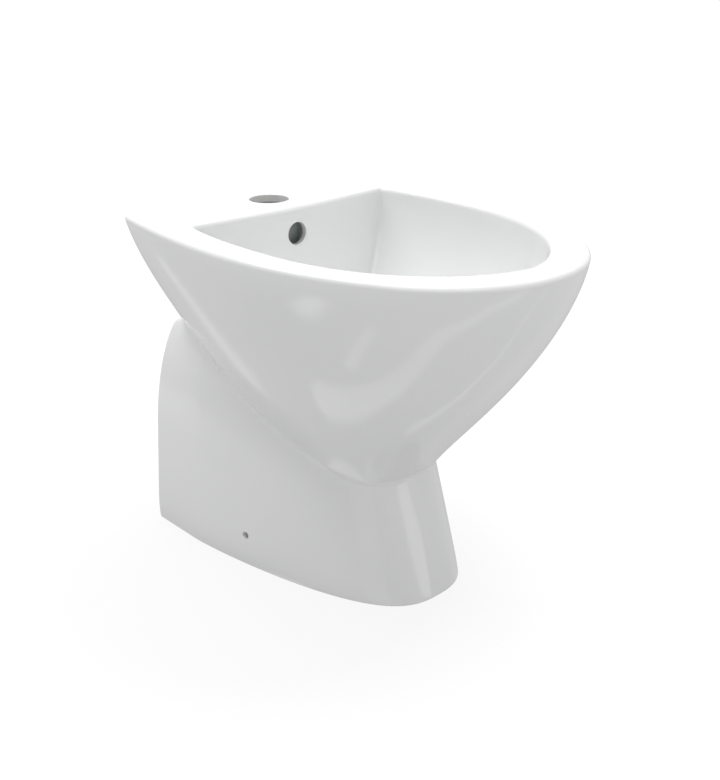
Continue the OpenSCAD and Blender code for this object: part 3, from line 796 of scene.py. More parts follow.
@dataclass(frozen=True)
class BasinForm:
    """Opening and walls of the basin: a curved side wall and a steeper rear wall."""

    half: float = 144.6
    rear_half: float = 135.0
    widest_y: float = 23.0
    front_y: float = -212.6
    rear_y: float = 114.6
    bow: float = 5.0
    depth: float = 155.0
    floor_r: float = 34.5
    centre_y: float = 11.0
    side_power: float = 2.1
    rear_power: float = 4.5
    depth_power: float = 2.2
    lip: float = 6.0
    corner: float = 3.2

    def front(self, u: float) -> Flat:
        """Point of the front stretch.

        Args:
            u: Share of the stretch, from the front at 0 to the widest place at 1.

        Returns:
            The point in plan.
        """
        t = math.cos(u * math.pi / 2)
        return (
            self.half * max(0.0, 1 - t**2.6) ** (1 / 1.64),
            self.widest_y - (self.widest_y - self.front_y) * t,
        )

    def side(self, t: float) -> Flat:
        """Point of the side, from the widest place at 0 to the corner at 1 and on past it."""
        back = self.rear_y + self.bow - self.widest_y
        return (self.half - (self.half - self.rear_half) * t**2.3, self.widest_y + back * t)

    def rear(self, x: float) -> Flat:
        """Point of the rear edge at half width x."""
        return (x, self.rear_y + self.bow * (x / self.rear_half) ** 2)

    def fraction(self, angle: float) -> float:
        """Fraction of the depth at an angle in degrees, from the rim at 0 to the floor at 90."""
        return math.sin(math.radians(angle)) ** (2 / self.depth_power)

    def share(self, d: float, power: float) -> float:
        """Share of the opening that is left at a fraction d of the depth."""
        return max(0.0, 1 - d**self.depth_power) ** (1 / power)

    def crossing(self, p: Flat) -> float:
        """Finds where the rear edge crosses the line from the waste to a point.

        Args:
            p: The point.

        Returns:
            The half width at the crossing.
        """
        slant = p[0] / (p[1] - self.centre_y)
        run, bend = (self.rear_y - self.centre_y) * slant, self.bow * slant / self.rear_half**2
        return (1 - math.sqrt(max(0.0, 1 - 4 * bend * run))) / (2 * bend)

    def far(self, p: Flat) -> float:
        """Distance of a point from the edge of the waste's seat."""
        return math.hypot(p[0], p[1] - self.centre_y) - self.floor_r

    def corner_at(self, d: float) -> float:
        """Station at which the side wall meets the rear wall, found by halving.

        Args:
            d: Fraction of the depth.

        Returns:
            The station of the side.
        """
        held = min(d, 0.98)
        side, rear = self.share(held, self.side_power), self.share(held, self.rear_power)

        def past_rear(station: float) -> bool:
            """Whether the side wall lies beyond the rear wall at a station."""
            p = self.side(station)
            return self.far(p) * side > self.far(self.rear(self.crossing(p))) * rear

        return halved(0.9, 2.6, past_rear)

    def drawn_in(self, p: Flat, share: float, grow: float) -> Flat:
        """Draws a point in towards the waste.

        Args:
            p: The point.
            share: Share of its distance that is left.
            grow: How far it is then moved outwards.

        Returns:
            The point drawn in.
        """
        r = self.floor_r + grow + self.far(p) * share
        dx, dy = p[0], p[1] - self.centre_y
        size = math.hypot(dx, dy)
        return (dx / size * r, self.centre_y + dy / size * r)

    def section(
        self, stations: list[tuple[Station, float]], d: float, grow: float = 0.0
    ) -> list[Flat]:
        """Half section of the basin at the stations of the outer outline.

        Args:
            stations: Stretches of the outline, with the share of each.
            d: Fraction of the depth.
            grow: How far the wall is grown outwards.

        Returns:
            Points in plan, from the front to the middle of the rear.
        """
        side, rear = self.share(d, self.side_power), self.share(d, self.rear_power)
        corner = self.corner_at(d)
        edge = self.crossing(self.side(corner))
        size = self.corner * (1 + 1.2 * d)
        before = corner - size / 99 / max(side, 0.35)
        after = edge - min(size / max(rear, 0.35), edge / 2)
        start = self.drawn_in(self.side(before), side, grow)
        turn = self.drawn_in(self.side(corner), side, grow)
        end = self.drawn_in(self.rear(after), rear, grow)
        points = []
        for kind, u in stations:
            if kind is Station.FRONT:
                points.append(self.drawn_in(self.front(u), side, grow))
            elif kind is Station.FLANK:
                points.append(self.drawn_in(self.side(before * u), side, grow))
            elif kind is Station.CORNER:
                points.append(rounded(start, turn, end, u))
            else:
                points.append(self.drawn_in(self.rear(after * (1 - u)), rear, grow))
        return points


@dataclass
class ChinaBody:
    """The one-piece china: outer skin, rim, basin, hollow, duct and bores."""

    bowl: BowlForm = field(default_factory=BowlForm)
    foot: FootForm = field(default_factory=FootForm)
    basin: BasinForm = field(default_factory=BasinForm)
    height: float = 400.0
    axis_y: float = 35.0
    rim_t: float = 14.0
    wall_t: float = 10.0
    skirt_h: float = 58.0
    rim_corner: float = 16.0
    foot_corner: float = 5.0
    tap_y: float = 164.0
    tap_r: float = 22.5
    overflow_z: float = 368.5
    overflow_r: float = 12.75
    waste_r: float = 22.5
    collar_l: float = 42.0
    fixing: Point = (98.0, 84.0, 38.0)
    fixing_r: float = 4.5
    duct_w: float = 30.0
    duct_t: float = 10.0
    duct_wall: float = 6.0
    slot_h: float = 20.0
    glaze_run: float = 2.0
    # Depth in the tap hole past which its faces get painted shade
    bore_shade_depth: float = 7.0
    # Height above which the duct's faces get painted shade
    skin_low: float = 215.0
    light_bore: float = 8.5
    flat_step: float = 0.8
    crease_steps: tuple[float, ...] = (0.5, 1.0, 1.6, 2.4, 3.4, 4.8, 7.0, 10.0, 14.0)
    foot_edge: tuple[Flat, ...] = ((0.0, 1.6), (0.25, 0.8), (0.9, 0.2), (1.9, 0.0))
    bore_past: float = 3.0
    tap_lip: float = 1.2
    overflow_lip: float = 1.4
    overflow_l: float = 13.0
    overflow_out: float = 0.2
    waste_lip: float = 1.0
    fixing_lip: float = 0.8
    fixing_in: float = 0.3
    boss: Flat = (17.0, 60.0)
    collar_t: float = 13.0
    collar_ease: float = 1.5
    chamber_t: float = 6.0

    def _blend(self, p: float, q: float, reach: float) -> float:
        """The larger of two values, with a rounded change between them."""
        return max(p, q) + max(reach - abs(p - q), 0.0) ** 2 / (4 * reach)

    def _radius(self, angle: float, z: float, fillet: float) -> float:
        """Radius of the outer skin about the widest station.

        Args:
            angle: Angle from the front in degrees.
            z: Height above the floor.
            fillet: Size of the fillet between bowl and pedestal.

        Returns:
            The radius.
        """
        bowl = self.bowl.radius(self.height - z, angle)
        if z >= self.foot.top:
            return bowl
        return self._blend(bowl, self.foot.radius(z, angle, self.axis_y), fillet)

    def _corner_half(self, z: float, fillet: float) -> float:
        """Half width of the skin at its rear corners."""
        bowl = self.bowl.section(self.height - z)[3]
        return bowl if z >= self.foot.top else self._blend(bowl, self.foot.section(z)[0], fillet)

    def _bowl_share(self, z: float) -> float:
        """Share of the bowl in the rear edge, which is bowed there and straight at the foot.

        Args:
            z: Height above the floor.

        Returns:
            The share, from 0 to 1.
        """
        if z >= self.foot.top:
            return 1.0
        lead = self.bowl.section(self.height - z)[3] - self.foot.section(z)[0]
        return span(0.5 + lead / 16, 0.0, 1.0)

    def _rear(self, x: float, z: float, back: float) -> Flat:
        """Point of the rear edge.

        Args:
            x: Half width.
            z: Height above the floor.
            back: How far the edge is moved to the rear.

        Returns:
            The point in plan.
        """
        share = self._bowl_share(z)
        bowed = self.bowl.rear_reach - self.bowl.bow_at(x)
        straight = self.foot.rear_y - self.axis_y - self.foot.rear_back * self.foot.shoulder(z)
        return (x, self.axis_y + share * bowed + (1 - share) * straight + back)

    def _flank(self, angle: float, z: float, inset: float, fillet: float) -> Flat:
        """Point of the flank at an angle from the front."""
        r = self._radius(angle, z, fillet) - inset
        return (r * math.sin(math.radians(angle)), self.axis_y - r * math.cos(math.radians(angle)))

    def outline(
        self,
        kind: Station,
        u: float,
        z: float,
        inset: float = 0.0,
        back: float = 0.0,
        fillet: float = FILLET,
    ) -> Flat:
        """Point of the skin's plan section at one station.

        Args:
            kind: Stretch of the half outline.
            u: Share of that stretch, from 0 to 1.
            z: Height above the floor.
            inset: How far the section is drawn in.
            back: How far its rear edge is moved to the rear.
            fillet: Size of the fillet between bowl and pedestal.

        Returns:
            The point in plan, on the right half.
        """
        if kind is Station.FRONT:
            return self._flank(90 * u, z, inset, fillet)
        half = self._corner_half(z, fillet) - inset
        turn = self.foot_corner + (self.rim_corner - self.foot_corner) * self._bowl_share(z)
        corner = self._rear(half, z, back)
        last = 90 + math.degrees(math.atan2(corner[1] - self.axis_y - turn, half))
        if kind is Station.FLANK:
            return self._flank(90 + u * (last - 90), z, inset, fillet)
        after = self._rear(half - turn, z, back)
        if kind is Station.CORNER:
            return rounded(self._flank(last, z, inset, fillet), corner, after, u)
        return self._rear(after[0] * (1 - u), z, back)

    @staticmethod
    def stations(front: int, flank: int, corner: int, rear: int) -> list[tuple[Station, float]]:
        """Stations of the right half, from the front to the middle of the rear.

        Args:
            front: Steps of the front stretch.
            flank: Steps of the side stretch.
            corner: Steps of the rear corner.
            rear: Steps of half the rear edge.

        Returns:
            Pairs of stretch and share.
        """
        counts = zip(Station, (front, flank, corner, rear))
        return [(kind, i / n) for kind, n in counts for i in range(n)] + [(Station.REAR, 1.0)]

    @staticmethod
    def mirrored(half: list[Point]) -> list[Point]:
        """Completes a half ring, front to rear, by its mirror image."""
        return half + [(-x, y, z) for x, y, z in reversed(half[1:-1])]

    def _ring(self, stations: list, heights: float | list[float], *shape: float) -> list[Point]:
        """One ring of the skin.

        Args:
            stations: Stations of the right half.
            heights: Height of the ring, or of each station.
            shape: Inset, way back and fillet, as outline takes them.

        Returns:
            Points in millimetres.
        """
        if not isinstance(heights, list):
            heights = [heights] * len(stations)
        return self.mirrored([(*self.outline(*s, z, *shape), z) for s, z in zip(stations, heights)])

    def _basin_ring(self, stations: list, d: float, grow: float, z: float) -> list[Point]:
        """One ring of the basin's wall."""
        return self.mirrored([(x, y, z) for x, y in self.basin.section(stations, d, grow)])

    def _crease(self, kind: Station, u: float) -> float:
        """Height at which bowl and pedestal meet at one station.

        Args:
            kind: Stretch of the half outline.
            u: Share of that stretch, from 0 to 1.

        Returns:
            The height.
        """

        def bowl_leads(z: float) -> bool:
            """Tells whether the bowl lies outside the pedestal.

            Args:
                z: Height above the floor.

            Returns:
                True where the bowl leads.
            """
            depth = self.height - z
            if kind in (Station.CORNER, Station.REAR):
                return self.foot.section(z)[0] <= self.bowl.section(depth)[3]
            x, y = self.outline(kind, u, z)
            angle = math.degrees(math.atan2(x, self.axis_y - y))
            return self.foot.radius(z, angle, self.axis_y) <= self.bowl.radius(depth, angle)

        return halved(0.0, self.foot.top - 0.01, bowl_leads, 24)

    def _skin_rings(self, stations: list[tuple[Station, float]]) -> list[list[Point]]:
        """Rings of the outer skin, from the floor up over the rim's rounded edge.

        Args:
            stations: Stations of the right half.

        Returns:
            Rings in millimetres. Each passes the crease at the same step.
        """
        creases = [self._crease(*s) for s in stations]
        near, floor = self.crease_steps, self.foot_edge
        low, reach, edge = floor[-1][0], near[-1], self.bowl.edge
        top = self.height - edge
        rings = [self._ring(stations, z, inset, -inset) for z, inset in floor]
        for share in (k / 30 for k in range(1, 31)):
            rings.append(self._ring(stations, [low + (c - reach - low) * share for c in creases]))
        for step in (*(-d for d in reversed(near[:-1])), 0.0, *near):
            rings.append(self._ring(stations, [c + step for c in creases]))
        for share in (k / 36 for k in range(1, 37)):
            heights = [c + reach + (top - (c + reach)) * share for c in creases]
            rings.append(self._ring(stations, heights))
        for turn in (math.radians(10 * k) for k in range(1, 10)):
            inset = edge * (1 - math.cos(turn))
            rings.append(self._ring(stations, top + edge * math.sin(turn), inset, -inset))
        inset = edge + self.flat_step
        return [*rings, self._ring(stations, self.height, inset, -inset)]

    def _basin_rings(self, stations: list[tuple[Station, float]]) -> list[list[Point]]:
        """Rings of the rim's inner edge and of the basin's wall down to its floor.

        Args:
            stations: Stations of the right half.

        Returns:
            Rings in millimetres.
        """
        basin, top = self.basin, self.height
        lip, bottom = basin.lip, top - basin.depth
        rings = [self._basin_ring(stations, 0.0, lip + self.flat_step, top)]
        for turn in (math.radians(90 - 18 * k) for k in range(6)):
            grow, z = lip * (1 - math.cos(turn)), top - lip * (1 - math.sin(turn))
            rings.append(self._basin_ring(stations, 0.0, grow, z))
        first = math.degrees(math.asin((lip / basin.depth) ** 1.1))
        for k in range(1, 49):
            d = basin.fraction(first + (90 - first) * k / 48)
            rings.append(self._basin_ring(stations, d, 0.0, top - basin.depth * d))
        return rings + [self._basin_ring(stations, 1.0, -inset, bottom) for inset in (3.5, 8.5)]

    def _hollow(self) -> bpy.types.Object:
        """Space between the skins, open at the floor and below the rear skirt.

        Returns:
            The space as a closed solid.
        """
        stations, wall, foot_top = self.stations(40, 24, 4, 6), self.wall_t, self.foot.top
        skirt = self.height - self.skirt_h
        open_back = self.bowl.bow + self.foot.rear_y - self.axis_y - self.bowl.rear_reach
        levels = [self.height - self.rim_t, skirt + 22, skirt, skirt - 1]
        levels += [skirt - 1 - (skirt - 1 - foot_top) * k / 8 for k in range(1, 9)]
        levels += [foot_top * (1 - k / 40) for k in range(1, 40)] + [-2.0]
        backs = [open_back if z < skirt else -wall for z in levels]
        hollow = Bench.drawn(
            [self._ring(stations, z, wall, back, ROOMY_FILLET) for z, back in zip(levels, backs)]
        )
        skin = [self._basin_ring(stations, 0.0, wall, self.height + 2)]
        for k in range(1, 25):
            d = self.basin.fraction(k * 90 / 24)
            z = self.height - (self.basin.depth + wall) * d
            skin.append(self._basin_ring(stations, d, wall, z))
        Bench.combine(hollow, Bench.drawn(skin))
        return hollow

    def _slot_z(self) -> float:
        """Height of the overflow's slots, at the middle of the collar."""
        return self.height - self.basin.depth - self.collar_l / 2

    def _duct(self, grow: float, bevel: float) -> list[bpy.types.Object]:
        """The overflow's duct as two blocks, grown outwards by grow.

        Args:
            grow: How far the blocks are grown.
            bevel: Radius of their edges.

        Returns:
            The upright and the level block.
        """
        half = self.duct_w / 2 + grow
        front = self.basin.rear_y + self.duct_wall + 1 - grow
        low, high = (self._slot_z() + side * (self.slot_h / 2 + grow) for side in (-1, 1))
        top = self.overflow_z + self.overflow_r + 2 + grow
        back = front + self.duct_t + 2 * grow
        return [
            Bench.block((-half, front, low), (half, back, top), bevel),
            Bench.block((-half, self.basin.centre_y + 10, low), (half, back, high), bevel),
        ]

    def _bore(self, radius: float, depth: float, lip: float) -> bpy.types.Object:
        """A cutter for a bore whose mouth, at the origin, is rounded.

        Args:
            radius: Radius of the bore.
            depth: Depth of the bore.
            lip: Radius of the rounding of its mouth.

        Returns:
            The cutter, which points down from the origin.
        """
        turns = [math.radians(15 * k) for k in range(7)]
        flare = [(radius + lip * (1 - math.sin(a)), -lip * (1 - math.cos(a))) for a in turns]
        middle, above = min(self.light_bore, depth / 2), 6.0
        profile = [(0.0, -depth), (0.0, above), (radius + lip, above), *flare]
        return Bench.turned([*profile, (radius, -middle), (radius, -depth)])

    def _cut_bores(self, china: bpy.types.Object) -> None:
        """Cuts the tap hole, overflow, waste hole and floor fixing holes.

        Args:
            china: The china body.
        """
        basin, (x, y, z) = self.basin, self.fixing
        bottom = self.height - basin.depth
        share = basin.share((self.height - self.overflow_z) / basin.depth, basin.rear_power)
        wall_y = basin.drawn_in(basin.rear(0.0), share, 0.0)[1]
        face = self.outline(Station.FLANK, 0.0, z)[0]
        angle = 90 + math.degrees(math.atan2(y - self.axis_y, face))
        side_x = self._flank(angle, z, 0.0, FILLET)[0]
        past, tap_at = self.bore_past, (0, self.tap_y, self.height)
        overflow_at = (0, wall_y + self.overflow_out, self.overflow_z)
        waste_at = (0, basin.centre_y, bottom)
        bores = [
            (self.tap_r, self.rim_t + past, self.tap_lip, tap_at, ORIGIN),
            (self.overflow_r, self.overflow_l, self.overflow_lip, overflow_at, (90, 0, 0)),
            (self.waste_r, self.collar_l + past, self.waste_lip, waste_at, ORIGIN),
        ]
        for side in (-1, 1):
            at, turn = (side * (side_x - self.fixing_in), y, z), (0, side * 90, 0)
            bores.append((self.fixing_r, side_x - x + 2 * past, self.fixing_lip, at, turn))
        for radius, depth, lip, at, turn in bores:
            Bench.combine(china, self._bore(radius, depth, lip), at, turn)

    def build(self) -> bpy.types.Object:
        """Builds the china body.

        Returns:
            The finished mesh with its materials.
        """
        stations = self.stations(60, 40, 8, 10)
        china = Bench.drawn(self._skin_rings(stations) + self._basin_rings(stations), "china_body")
        glazed = BVHTree.FromObject(china, bpy.context.evaluated_depsgraph_get())
        LOG.info("china skin: %d faces", len(china.data.polygons))
        hollow = self._hollow()
        for block in self._duct(self.duct_wall, 3.0):
            Bench.combine(hollow, block)
        (x, y, z), (radius, far) = self.fixing, self.boss
        for side in (-1, 1):
            profile = [(0, 0), (radius - 1, 0), (radius, 1), (radius, far), (0, far)]
            boss = Bench.turned(profile, 48)
            Bench.combine(hollow, boss, (side * x, y, z), (0, side * 90, 0))
        axis, slot_z, half = self.basin.centre_y, self._slot_z(), self.slot_h / 2
        size, wide, ease = self.collar_l, self.waste_r + self.collar_t, self.collar_ease
        collar = [(0, 0), (wide - ease, 0), (wide, ease), (wide, size), (0, size)]
        Bench.combine(hollow, Bench.turned(collar, 72), (0, axis, slot_z - size / 2))
        Bench.combine(china, hollow)
        for block in self._duct(0.0, 0.0):
            Bench.combine(china, block)
        chamber = washer(-half, 2 * half, 0, self.waste_r + self.chamber_t, 0)
        Bench.combine(china, Bench.turned(eased(chamber), 72), (0, axis, slot_z))
        self._cut_bores(china)
        Bench.smooth(china)
        self._glaze(china, glazed)
        return china

    def _glaze(self, china: bpy.types.Object, skin: BVHTree) -> None:
        """Glazes the faces on the skin and its lips, leaves the cut faces bare, and paints shade
        deep in the tap hole and the duct.

        Args:
            china: The finished mesh.
            skin: The uncut skin.
        """
        china.data.materials.clear()
        for finish in (GlazedChina(), BareChina(), BoredChina(), PaintedShadeChina()):
            china.data.materials.append(finish.material())
        for face in china.data.polygons:
            near = skin.find_nearest(face.center)[3] / MM
            face.material_index = self._kind(face.center / MM, near).value

    def _kind(self, at: Vector, near: float) -> Face:
        """Kind of surface at a point of the china.

        Args:
            at: The point in millimetres.
            near: Its distance from the uncut skin in millimetres.

        Returns:
            The kind.
        """
        if near <= self.glaze_run and at.z >= 0.2:
            return Face.GLAZED
        # In the tap hole the deeper faces get painted shade, and those nearer the mouth the bare
        # body
        if at.z > self.height - self.rim_t + 0.1 and at.y > self.basin.rear_y + self.rim_t:
            return Face.BORED if near < self.bore_shade_depth else Face.SHADED
        # Faces in the overflow's duct, above skin_low, get painted shade
        front, half = self.basin.rear_y + self.duct_wall, self.duct_w / 2 + 0.1
        in_duct = abs(at.x) < half and front < at.y < front + self.duct_t + 1.1
        return Face.SHADED if in_duct and at.z > self.skin_low else Face.BARE

    def dress(self, china: bpy.types.Object) -> None:
        """Binds the china to its body and hides the CAD node that it replaces.

        Args:
            china: The finished mesh.
        """
        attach(china, "bidet")
        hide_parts("ceramic_body")


# ---------------------------------------------------------------------------
# Hidden fittings
# ---------------------------------------------------------------------------


class Slot(Enum):
    """The record's material slots of the fittings."""

    CHROME = "china_waste"
    WIRE = "steel_wire"
    CARTRIDGE = "cartridge_plastic"
    RUBBER = "rubber"
    PLASTIC = "white_plastic"


Corner = tuple[float, float, float]


def eased(corners: tuple[Corner, ...], steps: int = 4) -> list[Flat]:
    """Rounds the corners of a closed outline.

    Args:
        corners: Radius, height and reach of the rounding of each corner.
        steps: Number of steps in each rounding.

    Returns:
        The rounded outline.
    """
    points = []
    for i, (radius, height, reach) in enumerate(corners):
        here = Vector((radius, height))
        if not reach:
            points.append(tuple(here))
            continue
        start, end = (
            here + (Vector(near[:2]) - here).normalized() * reach
            for near in (corners[i - 1], corners[(i + 1) % len(corners)])
        )
        points += [rounded(start, here, end, k / steps) for k in range(steps + 1)]
    return points


def washer(
    low: float, height: float, inner: float, outer: float, ease: float = 0.4
) -> tuple[Corner, ...]:
    """Corners of a flat ring's outline.

    Args:
        low: Height of its underside.
        height: Its thickness.
        inner: Inner radius.
        outer: Outer radius.
        ease: Reach of the rounding of its edges.

    Returns:
        The four corners.
    """
    high = low + height
    return ((inner, low, ease), (outer, low, ease), (outer, high, ease), (inner, high, ease))


@dataclass
class Plumbing:
    """The waste, its push-open plug and the bottle trap, as turned and cut pieces."""

    axis_y: float = 11.0
    seat: float = 245.0
    seat_seal: float = 1.6
    flange_t: float = 2.4
    flange_r: float = 31.5
    tail_r: float = 20.7
    tail_in: float = 18.1
    tail_low: float = 162.6
    thread_high: float = 212.0
    pitch: float = 2.3
    thread_t: float = 0.9
    slots: int = 4
    slot: Point = (9.0, 18.0, 224.0)
    slot_ease: float = 1.2
    bridge_drop: float = 12.0
    bridge_h: float = 9.0
    bridge_t: float = 2.4
    arms: int = 3
    arm_t: float = 2.6
    fit: float = 0.2
    collar_z: float = 203.0
    nut_z: float = 179.5
    nut_h: float = 11.0
    nut_r: float = 31.0
    cartridge: Point = (7.5, 207.0, 245.0)
    stem_r: float = 3.5
    coil_r: float = 5.4
    wire_r: float = 0.45
    coils: int = 7
    spring_z: Flat = (210.0, 236.2)
    travel: float = 8.0
    cap_z: float = 259.0
    cap_r: float = 29.0
    cap_dome: float = 4.5
    pipe_r: float = 16.0
    pipe_in: float = 14.4
    dip_low: float = 59.66
    seal_t: float = 3.0
    union_h: float = 20.0
    lip: float = 3.0
    neck_r: float = 21.0
    neck_z: float = 143.0
    bottle_r: float = 33.0
    bottle_in: float = 30.4
    bottle_top: float = 128.0
    bottle_low: float = 48.6
    cup_z: float = 26.0
    cup_h: float = 30.6
    cup_r: float = 37.0
    outlet_z: float = 104.0
    spigot_y: float = 70.0
    stop_y: float = 47.0
    rear_y: float = 250.0

    def _turn(self, name: str, corners: tuple[Corner, ...], steps: int = 96) -> bpy.types.Object:
        """Turns a piece about the waste's axis."""
        return Bench.place(Bench.turned(eased(corners), steps, name), (0, self.axis_y, 0))

    def _lobed(
        self, name: str, radius: float, rise: float, count: int, power: float, height: float
    ) -> bpy.types.Object:
        """Draws a grip with ribs or hollows round it, from the origin up.

        Args:
            name: Name of the piece.
            radius: Radius between the ribs.
            rise: Height of the ribs, below 0 for hollows.
            count: Number of ribs.
            power: Sharpness of the ribs.
            height: Height of the grip.

        Returns:
            The solid grip.
        """
        steps = count * 14
        turns = [2 * math.pi * k / steps for k in range(steps)]
        reach = [radius + rise * max(0.0, math.cos(count * a)) ** power for a in turns]
        ease = ((0.0, 1.0), (0.3, 0.4), (1.0, 0.0))
        levels = [*ease, *((height - z, inset) for z, inset in reversed(ease))]
        rings = []
        for z, inset in levels:
            sizes = zip((r - inset for r in reach), turns)
            rings.append([(r * math.cos(a), r * math.sin(a), z) for r, a in sizes])
        return Bench.drawn(rings, name)

    def _union_nut(
        self, name: str, bore: float, at: Point, turn: Point = ORIGIN
    ) -> bpy.types.Object:
        """Makes a ribbed union nut whose lip is at its start.

        Args:
            name: Name of the piece.
            bore: Radius of its threaded bore.
            at: Middle of its lip's face.
            turn: Turn about the three axes in degrees.

        Returns:
            The nut.
        """
        nut = self._lobed(name, bore + 4, 1.55, 12, 2.6, self.union_h)
        through, far, lip = self.pipe_r + self.fit, self.union_h, self.lip
        hollow = [(0, -1), (through + 0.5, -1), (through + 0.5, 0), (through, 0.5)]
        hollow += [(through, lip), (bore, lip), *self._mouth(bore, far)]
        Bench.combine(nut, Bench.turned(hollow))
        return Bench.place(nut, at, turn)

    @staticmethod
    def _mouth(bore: float, far: float) -> list[Flat]:
        """Outline of a nut's eased far end."""
        wide = bore + 0.8
        return [(bore, far - 0.8), (wide, far), (wide, far + 1), (0, far + 1)]

    def waste(self) -> bpy.types.Object:
        """Turns the flanged tail, cuts its slots and adds the bridge.

        Returns:
            The waste.
        """
        tail, inner, wide = self.tail_r, self.tail_in, self.flange_r
        under = self.seat + self.seat_seal
        top = under + self.flange_t
        thread = []
        for k in range(int((self.thread_high - self.tail_low) / self.pitch)):
            z, root = self.tail_low + k * self.pitch, tail - self.thread_t
            thread += [(root, z, 0), (root, z + 0.25, 0), (tail, z + 1.0, 0), (tail, z + 1.4, 0)]
        corners = ((inner, self.tail_low, 0), *thread, (tail, self.thread_high + 1, 0.4))
        corners += ((tail, under, 0), (wide, under, 0), (wide, under + 1.2, 0.6))
        corners += ((wide - 3, top, 1.8), (inner + 3, top, 1.6), (inner, top - 4, 2.0))
        waste = self._turn("waste_tail", corners, 128)
        along, tall, middle = self.slot
        low, high = middle - tall / 2, middle + tall / 2
        axis = (0, self.axis_y, 0)
        for k in range(self.slots):
            cut = Bench.block((16, -along / 2, low), (24, along / 2, high), self.slot_ease)
            Bench.combine(waste, cut, axis, (0, 0, (k + 0.5) * 360 / self.slots))
        low, tall, half = self.cartridge[2] - self.bridge_drop, self.bridge_h, self.arm_t / 2
        inside = self.cartridge[0] + self.fit
        boss = inside + self.bridge_t
        for k in range(self.arms):
            ends = (boss - 0.8, -half, low + 1), (inner + 0.6, half, low + tall - 1)
            arm = Bench.block(*ends, 0.5)
            Bench.combine(waste, arm, axis, (0, 0, 30 + k * 360 / self.arms), Way.JOIN)
        ring = Bench.turned(eased(washer(low, tall, inside, boss, 0.5)), 48)
        Bench.combine(waste, ring, axis, way=Way.JOIN)
        return waste

    def back_nut(self) -> bpy.types.Object:
        """Makes the lobed nut on the tail.

        Returns:
            The nut.
        """
        nut = self._lobed("lobed_nut", self.nut_r - 4.5, 4.5, 8, 0.8, self.nut_h)
        bore = self.tail_r + self.fit
        hollow = [(0, -1), (bore + 0.8, -1), (bore + 0.8, 0), (bore, 0.8)]
        Bench.combine(nut, Bench.turned(hollow + self._mouth(bore, self.nut_h)))
        return Bench.place(nut, (0, self.axis_y, self.nut_z))

    def bottle(self) -> bpy.types.Object:
        """Joins the bottle, its neck and its spigot, and hollows them.

        Returns:
            The bottle.
        """
        top, neck, high, outer = self.bottle_top, self.neck_r, self.neck_z, self.bottle_r
        low, inner, through = self.bottle_low, self.bottle_in, self.pipe_r + self.fit
        corners = ((0, low, 0), (outer, low, 0.6), (outer, top, 4.5), (neck, top, 0))
        bottle = self._turn("bottle", (*corners, (neck, high, 0.8), (0, high, 0)))
        at, level = (0, self.axis_y, self.outlet_z), (-90, 0, 0)
        far, stop = self.spigot_y - self.axis_y, self.stop_y - self.axis_y
        spigot = Bench.turned(eased(((0, 0, 0), (neck, 0, 0), (neck, far, 0.8), (0, far, 0))))
        Bench.combine(bottle, spigot, at, level, Way.JOIN)
        ceiling = top - (outer - inner)
        inside = ((0, low - 1, 0), (inner, low - 1, 0), (inner, ceiling, 4.0))
        inside += ((through, ceiling, 0), (through, high + 1, 0), (0, high + 1, 0))
        Bench.combine(bottle, Bench.turned(eased(inside)), (0, self.axis_y, 0))
        bore = [(0, 4), (self.pipe_in, 4), (self.pipe_in, stop), (through, stop)]
        Bench.combine(bottle, Bench.turned([*bore, (through, far + 1), (0, far + 1)]), at, level)
        return bottle

    def cup(self) -> bpy.types.Object:
        """Makes the screw-off cup with its grips.

        Returns:
            The cup.
        """
        cup = self._lobed("cup", self.cup_r, -1.35, 16, 1.3, self.cup_h)
        inner, outer = self.bottle_in, self.bottle_r + self.fit
        ledge, floor, top = self.cup_h - 11.0, self.bottle_r - inner, self.cup_h + 1
        hollow = ((0, floor, 0), (inner, floor, 4.0), (inner, ledge, 0), (outer, ledge, 0))
        Bench.combine(cup, Bench.turned(eased((*hollow, (outer, top, 0), (0, top, 0)))))
        return Bench.place(cup, (0, self.axis_y, self.cup_z))

    def pipe(self) -> bpy.types.Object:
        """Turns the outlet pipe, with a slimmer inner end and eased edges.

        Returns:
            The pipe.
        """
        slim, low, step = self.pipe_r - 0.4, self.stop_y + 0.3, self.spigot_y + 2 * self.lip + 1
        corners = ((self.pipe_in, low, 0.4), (slim, low, 0.4), (slim, step, 0))
        corners += ((self.pipe_r, step, 0.3), (self.pipe_r, self.rear_y, 0.5))
        corners += ((self.pipe_in, self.rear_y, 0.5),)
        return self._level("outlet", corners, 96)

    def _level(self, name: str, corners: tuple[Corner, ...], steps: int) -> bpy.types.Object:
        """Turns a piece about the outlet's axis."""
        turned = Bench.turned(eased(corners), steps, name)
        return Bench.place(turned, (0, 0, self.outlet_z), (-90, 0, 0))

    def cap(self) -> bpy.types.Object:
        """Turns the plug's domed cap with its boss.

        Returns:
            The cap.
        """
        z, boss, bore = self.cap_z, self.stem_r + 3, self.stem_r + 0.05
        left = [1 - k / 24 for k in range(25)]
        dome = [(self.cap_r * t, z + 2.2 + self.cap_dome * (1 - t**2.2), 0) for t in left]
        under = ((bore, z + 0.05, 0), (bore, z - 4, 0.3), (boss, z - 4, 0.5), (boss, z - 1.6, 0))
        under += ((22, z - 1.6, 0.3), (22, z, 0), (self.cap_r, z, 0.8))
        return self._turn("domed_cap", (*under, *dome, (0, z + 0.05, 0)), 128)

